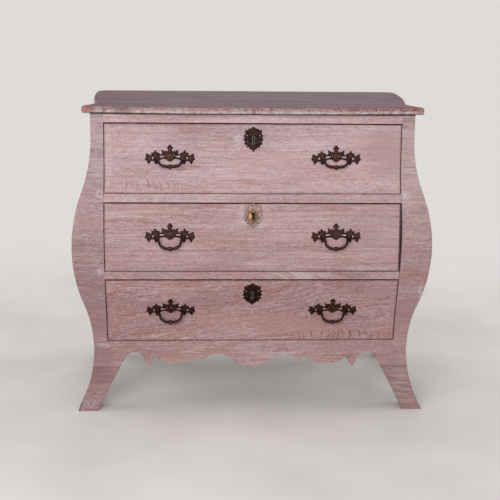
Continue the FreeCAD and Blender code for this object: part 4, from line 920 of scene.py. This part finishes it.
FRONT_PATCHES = {  # kind, x, z, half width, half height (metres), strength
    "top": (
        ("lime", -0.368, 0.668, 0.010, 0.085, 0.25),
        ("rust", -0.142, 0.746, 0.056, 0.020, 0.55),
        ("rust", -0.030, 0.608, 0.050, 0.011, 0.7),
        ("rust", -0.142, 0.650, 0.030, 0.010, 0.50),
        ("rays", -0.256, 0.600, 0.095, 0.014, 0.50),
        ("flecks", -0.038, 0.712, 0.012, 0.020, 0.6),
        ("rust", -0.174, 0.645, 0.034, 0.008, 0.8),
        ("umber", -0.186, 0.6425, 0.016, 0.006, 1.0),
        ("warm", 0.060, 0.640, 0.120, 0.030, 0.6),
        # painted shade: the right end of the top drawer made warmer and darker, as the light falls from the
        # left
        ("warm", 0.300, 0.680, 0.090, 0.060, 0.6),
        ("dust", 0.345, 0.680, 0.060, 0.070, 0.25),
    ),
    "middle": (
        ("flecks", -0.022, 0.528, 0.020, 0.026, 0.45),
        ("flecks", 0.020, 0.510, 0.014, 0.016, 0.35),
        ("warm", -0.290, 0.548, 0.070, 0.014, 0.7),
        ("rust", 0.180, 0.545, 0.060, 0.012, 0.4),
        ("cool", 0.300, 0.480, 0.090, 0.060, 0.6),
        # painted shade: a dark stripe that widens the gap line at the drawer's right edge
        ("shade_and_dirt", 0.3785, 0.470, 0.0040, 0.110, 1.0),
    ),
    "bottom": (
        ("rays", 0.228, 0.195, 0.150, 0.016, 0.75),
        ("rust", 0.060, 0.335, 0.110, 0.008, 0.5),
        ("warm", 0.100, 0.230, 0.150, 0.030, 0.6),
        ("cool", 0.330, 0.330, 0.045, 0.020, 0.8),
    ),
}
# painted shadow below each bail: how far below the pivot, and how strong
BAIL_SHADOW = {"top": (0.016, 0.35), "middle": (0.028, 0.35), "bottom": (0.030, 0.45)}
DRAWER_LOOKS = {
    "top": dict(tone=(193, 166, 169), seed=1.3, flow=0.014, lines=0.36, warmth=0.45),
    "middle": dict(tone=(182, 151, 150), seed=4.1, flow=0.010, lines=0.32, warmth=0.35, bands=0.34),
    "bottom": dict(tone=(180, 145, 144), seed=7.7, flow=0.060, lines=0.62, warmth=0.40, slope=0.14,
                   bite=1.25),
}
SHADOW_UNDER_BOARD = ("shade_and_dirt", 0.0, 0.7795, 5.0, 0.0022, 0.95)  # painted shadow: a dark line in the corner below the top board
STILE_PATCHES = (
    SHADOW_UNDER_BOARD,
    ("flecks", -0.388, 0.578, 0.012, 0.012, 0.5),
    ("flecks", -0.389, 0.379, 0.012, 0.016, 0.5),
    ("flecks", -0.397, 0.181, 0.018, 0.008, 0.4),
    ("dust", -0.415, 0.245, 0.050, 0.065, 0.40),
    ("dust", 0.415, 0.245, 0.050, 0.065, 0.34),
    ("warm", -0.415, 0.245, 0.050, 0.065, 0.7),
    ("warm", 0.415, 0.245, 0.050, 0.065, 0.7),
    ("lime", 0.397, 0.700, 0.040, 0.090, 0.36),
    ("lime", -0.397, 0.700, 0.040, 0.090, 0.36),
    # painted shade: a dark stripe that widens the gap line beside the middle drawer's right edge
    ("shade_and_dirt", 0.3800, 0.470, 0.0030, 0.110, 1.0),
    ("umber", -0.420, 0.445, 0.060, 0.012, 0.25),
    ("rust", -0.420, 0.340, 0.060, 0.036, 0.45),
    ("warm", -0.414, 0.502, 0.034, 0.030, 0.5),
    ("flecks", 0.389, 0.578, 0.012, 0.012, 0.5),
    ("flecks", 0.440, 0.335, 0.006, 0.024, 0.5),
    ("rust", 0.415, 0.366, 0.060, 0.030, 0.65),
    ("lime", 0.425, 0.560, 0.060, 0.060, 0.30),
)
STILE_LOOKS = {
    "left": dict(tone=(170, 142, 145), seed=2.2, warmth=0.3),
    "right": dict(tone=(179, 150, 151), seed=5.6, warmth=0.45),
}
FOOT_PATCHES = (
    ("flecks", -0.425, 0.018, 0.022, 0.010, 0.25),
    # painted shade: a dark line at the corner of the left foot's toe, by the floor
    ("shade_and_dirt", -0.4530, 0.007, 0.0030, 0.011, 0.8),
    ("lime", 0.415, 0.080, 0.040, 0.050, 0.3),
    ("dust", -0.400, 0.085, 0.040, 0.025, 0.4),
    ("warm", -0.400, 0.085, 0.040, 0.025, 0.4),
)
APRON_PATCHES = (
    ("flecks", -0.388, 0.168, 0.026, 0.007, 0.4),
    ("flecks", 0.392, 0.168, 0.012, 0.006, 0.3),
    ("rust", -0.250, 0.150, 0.060, 0.014, 0.5),
    ("dust", -0.340, 0.145, 0.090, 0.030, 0.2),
    ("dust", 0.360, 0.150, 0.060, 0.030, 0.2),
    ("dust", -0.420, 0.130, 0.060, 0.034, 0.55),
    ("dust", 0.420, 0.130, 0.060, 0.034, 0.22),
    ("lime", 0.0, 0.150, 0.190, 0.040, 0.27),
)
LOWER_RAIL_PATCHES = (
    ("umber", 0.239, 0.369, 0.060, 0.008, 0.4),
    ("lime", 0.120, 0.369, 0.090, 0.010, 0.6),
)
PANEL_TONE = (170, 141, 144)
APRON_TONE = (178, 145, 143)
# feet darker than the case: painted shade near the floor
FOOT_SHADED_TONE = (150, 118, 118)
# top rail paler than the other rails: painted light that cancels the top board's shadow
TOP_RAIL_LIT_TONE = (207, 178, 181)
UPPER_RAIL_TONE = (190, 161, 162)
LOWER_RAIL_TONE = (185, 154, 155)
# the top face darker than the front: painted shade
BOARD_SHADED_TONE = (141, 115, 122)
BOARD_EDGE_TONE = (160, 128, 132)
PLATE_REACH, PLATE_LOW, PLATE_HIGH = 66.0, -10.0, 43.0  # mm
ESCUTCHEON_REACH, ESCUTCHEON_RISE = 27.0, 33.0  # mm
PULL_X = 0.212
JOINT_DIRT = 0.22
RAIL_DIRT = 0.12
# drawer fronts' eased arrises near black: painted shade in the gap lines, with dirt
DRAWER_SHADE_AND_DIRT = 0.9
RAIL_EASE = 0.5 * MM


def build_case():
    for number, (side, _) in enumerate(SIDES):
        stile = limed_oak("oak_stile_" + side, flow=0.010, lines=0.34, shade_and_dirt=RAIL_DIRT,
                          patches=STILE_PATCHES, **STILE_LOOKS[side])
        wooden("stile_front_" + side, stile, RAIL_EASE)
        wooden("stile_rear_" + side, stile, RAIL_EASE)
        wooden("side_panel_" + side,
               limed_oak("oak_panel_" + side, PANEL_TONE, along="y", seed=2.0 + number, flow=0.020,
                         shade_and_dirt=JOINT_DIRT))
        wooden("side_apron_" + side,
               limed_oak("oak_side_apron_" + side, APRON_TONE, along="y", seed=4.0 + number,
                         flow=0.010, shade_and_dirt=JOINT_DIRT))
        legs = limed_oak("oak_feet_" + side, FOOT_SHADED_TONE, seed=7.0 + number, flow=0.012, lines=0.34,
                         warmth=0.3, bite=0.75, shade_and_dirt=JOINT_DIRT, patches=FOOT_PATCHES)
        wooden("foot_front_" + side, legs)
        wooden("foot_rear_" + side, legs)
    wooden("front_apron",
           limed_oak("oak_apron", APRON_TONE, seed=6.1, flow=0.010, lines=0.45, shade_and_dirt=JOINT_DIRT,
                     patches=APRON_PATCHES))
    wooden("top_rail_front",
           limed_oak("oak_top_rail", TOP_RAIL_LIT_TONE, seed=0.4, shade_and_dirt=RAIL_DIRT, patches=(SHADOW_UNDER_BOARD,)),
           RAIL_EASE)
    wooden("drawer_rail_upper",
           limed_oak("oak_upper_rail", UPPER_RAIL_TONE, seed=0.7, shade_and_dirt=RAIL_DIRT), RAIL_EASE)
    wooden("drawer_rail_lower",
           limed_oak("oak_lower_rail", LOWER_RAIL_TONE, seed=0.9, slope=-0.5, lines=0.4, shade_and_dirt=RAIL_DIRT,
                     patches=LOWER_RAIL_PATCHES),
           RAIL_EASE)
    show_as("top_board", board_oak("oak_top", BOARD_SHADED_TONE, BOARD_EDGE_TONE, 9.3))


def show_as(node, material):
    """Give a CAD node that is shown as it is a finished material."""
    mesh = NODES[node].data
    mesh.materials.clear()
    mesh.materials.append(material)


INSIDE_OAK = (  # name, grain along, seed, nodes, and nodes that each drawer has
    ("across", "x", 1.0, ("rear_rails", "bottom_board", "drawer_stops"),
     ("drawer_back_", "drawer_bottom_")),
    ("upright", "z", 2.0, ("back_boards", "glue_blocks"), ()),
    ("deep", "y", 3.0, ("drawer_runners", "drawer_guides"),
     ("drawer_side_left_", "drawer_side_right_")),
)


def build_inside():
    for name, along, seed, nodes, parts in INSIDE_OAK:
        oak = plain_oak("oak_inside_" + name, along, seed)
        for node in nodes + tuple(part + level for part in parts for level in LEVELS):
            show_as(node, oak)


def pivot_of(level):
    """Axis of a level's bails, from the joint that turns them."""
    joint = next(item for item in frame["joints"] if item["name"] == "bail_hinge_right_" + level)
    return Vector(joint["pos_m"])


def drawer_oak(level):
    """Wood of a drawer front, with painted shadow below its bails, laid on as dust patches."""
    low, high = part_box("drawer_front_" + level)
    pivot = pivot_of(level)
    below, strength = BAIL_SHADOW[level]
    # painted shadow of the bails
    dust = tuple(("dust", hand * PULL_X + 0.004, pivot.z - below, 0.026, 0.009, strength)
                 for _, hand in SIDES)
    return limed_oak("oak_drawer_" + level, patches=FRONT_PATCHES[level] + dust,
                     outline=(high.x, low.z, high.z), shade_and_dirt=DRAWER_SHADE_AND_DIRT, **DRAWER_LOOKS[level])


def build_drawers():
    plates = casting(PULL_STROKES, PULL_HOLES, PLATE_REACH, PLATE_LOW, PLATE_HIGH)
    shield = casting(ESCUTCHEON_STROKES, ESCUTCHEON_HOLES, ESCUTCHEON_REACH, -ESCUTCHEON_RISE,
                     ESCUTCHEON_RISE, keyhole=True)
    for level in LEVELS:
        body = "drawer_" + level
        pivot = pivot_of(level)
        key_height = middle_height("escutcheon_" + level)
        worn = level == "middle"
        wooden("drawer_front_" + level, drawer_oak(level), body=body)
        add_piece("pull_castings_" + level,
                  cast_mesh("pull_castings_" + level, plates, (-PULL_X, PULL_X), pivot.z),
                  BRONZE, "dark_bronze", body, "pull_plates_" + level)
        add_piece("escutcheon_casting_" + level,
                  cast_mesh("escutcheon_casting_" + level, shield, (0.0,), key_height),
                  BRASS if worn else BRONZE, "worn_brass" if worn else "dark_bronze", body,
                  "escutcheon_" + level)
        if not worn:
            add_piece("keyhole_liner_" + level, liner_mesh("keyhole_liner_" + level, key_height),
                      SILVERED, "lock_steel", body)
        show_as("pull_posts_" + level, BRONZE)
        show_as("lock_case_" + level, STEEL)
        show_as("lock_bolt_" + level, STEEL)
        for side, hand in SIDES:
            node = "bail_%s_%s" % (side, level)
            add_piece("bail_cast_%s_%s" % (side, level),
                      bail_mesh(node + "_cast", hand * PULL_X, pivot.y, pivot.z, BAIL_DROPS[level]),
                      BRONZE, "dark_bronze", node, node)


# ---- camera, floor and light

CAMERA_PLACE = Vector((-0.1304, -2.9291, 1.0732))
CAMERA_PITCH = math.radians(13.2612)  # looking down
CAMERA_YAW = math.radians(2.6056)  # towards +X
CAMERA_ROLL = math.radians(0.6291)
FOCAL_PIXELS = 1082.32  # for an image 500 pixels wide
IMAGE_WIDTH = 500
SENSOR = 36.0  # mm
FARTHEST = 50  # metres, end of the camera's view


def add_camera():
    data = bpy.data.cameras.new("camera")
    data.sensor_width = SENSOR
    data.lens = FOCAL_PIXELS / IMAGE_WIDTH * SENSOR
    data.clip_end = FARTHEST
    camera = add_object("camera", data)
    camera.matrix_world = (Matrix.Translation(CAMERA_PLACE) @ Matrix.Rotation(-CAMERA_YAW, 4, "Z")
                           @ Matrix.Rotation(math.pi / 2 - CAMERA_PITCH, 4, "X")
                           @ Matrix.Rotation(CAMERA_ROLL, 4, "Z"))
    bpy.context.scene.camera = camera


FLOOR_TONE = srgb(232, 229, 226)  # as the camera sees it
FLOOR_WORN = srgb(222, 218, 215)
FLOOR_SHADE = srgb(146, 142, 139)  # as it lights the chest from below
HORIZON = srgb(222, 219, 216)
FADE_FROM, FADE_TO = 0.8, 2.2  # metres from the chest over which the floor turns into the horizon
STAGE_REACH = 24.0  # metres, middle of the floor to its sides
ROOM_LIGHT = 0.32  # strength of the light from all round
ROOM_TINT = (1.0, 0.98, 0.97, 1.0)
LAMP_AIM = (0, 0, 0.5)
LAMP_SIZE = (2.2, 1.4)
LAMPS = (  # name, place, watts
    ("key", (-0.9, -2.9, 1.3), 58),
    ("fill", (2.3, -2.9, 1.3), 18),
    ("left", (-3.3, 0.5, 1.3), 36),
    ("right", (3.3, 0.5, 1.3), 36),
    ("behind", (0.4, 3.3, 1.3), 40),
)


def add_lamp(name, place, power):
    data = bpy.data.lights.new(name, "AREA")
    data.shape = "RECTANGLE"
    data.size, data.size_y = LAMP_SIZE
    data.energy = power
    lamp = add_object(name, data)
    lamp.location = place
    lamp.rotation_euler = (Vector(LAMP_AIM) - Vector(place)).to_track_quat("-Z", "Y").to_euler()


def floor_paint():
    """Pale floor that takes the chest's shadow and fades into the horizon."""
    paint = Paint("pale_floor", roughness=0.9)
    seen = paint.node("LightPath")["Is Camera Ray"]
    pale = paint.blend(paint.step(paint.noise(3.0, 3.0), 0.3, 0.7), FLOOR_TONE, FLOOR_WORN)
    paint.feed(paint.shader.inputs["Base Color"], paint.blend(seen, FLOOR_SHADE, pale))
    far = paint.node("Emission", {"Color": HORIZON})[0]
    x, y = paint.axes["x"], paint.axes["y"]
    share = paint.step(paint.math("SQRT", x * x + y * y), FADE_FROM, FADE_TO) * seen
    paint.mixed(share, paint.shader.outputs[0], far, "Material Output")
    return paint.material


def add_stage():
    ends = (-STAGE_REACH, STAGE_REACH)
    mesh = mesh_from("stage", [(x, y, 0) for x in ends for y in ends], [(0, 2, 3, 1)])
    mesh.materials.append(floor_paint())
    floor = add_object("stage", mesh)
    world = bpy.data.worlds.new("soft_room")
    world.use_nodes = True
    bpy.context.scene.world = world
    tree = Tree(world.node_tree)
    light = tree.nodes["Background"]
    light.inputs["Color"].default_value = ROOM_TINT
    light.inputs["Strength"].default_value = ROOM_LIGHT
    rays = tree.node("LightPath")
    share = rays["Is Camera Ray"]
    for kind in ("Is Glossy Ray", "Is Transmission Ray"):
        share = tree.math("MAXIMUM", share, rays[kind])
    seen = tree.node("Background", {"Color": HORIZON})[0]
    tree.mixed(share, light.outputs[0], seen, "World Output")
    for name, place, power in LAMPS:
        add_lamp(name, place, power)


build_case()
build_inside()
build_drawers()
add_camera()
add_stage()
bpy.context.scene.view_settings.view_transform = "Standard"


bpy.context.view_layer.update()
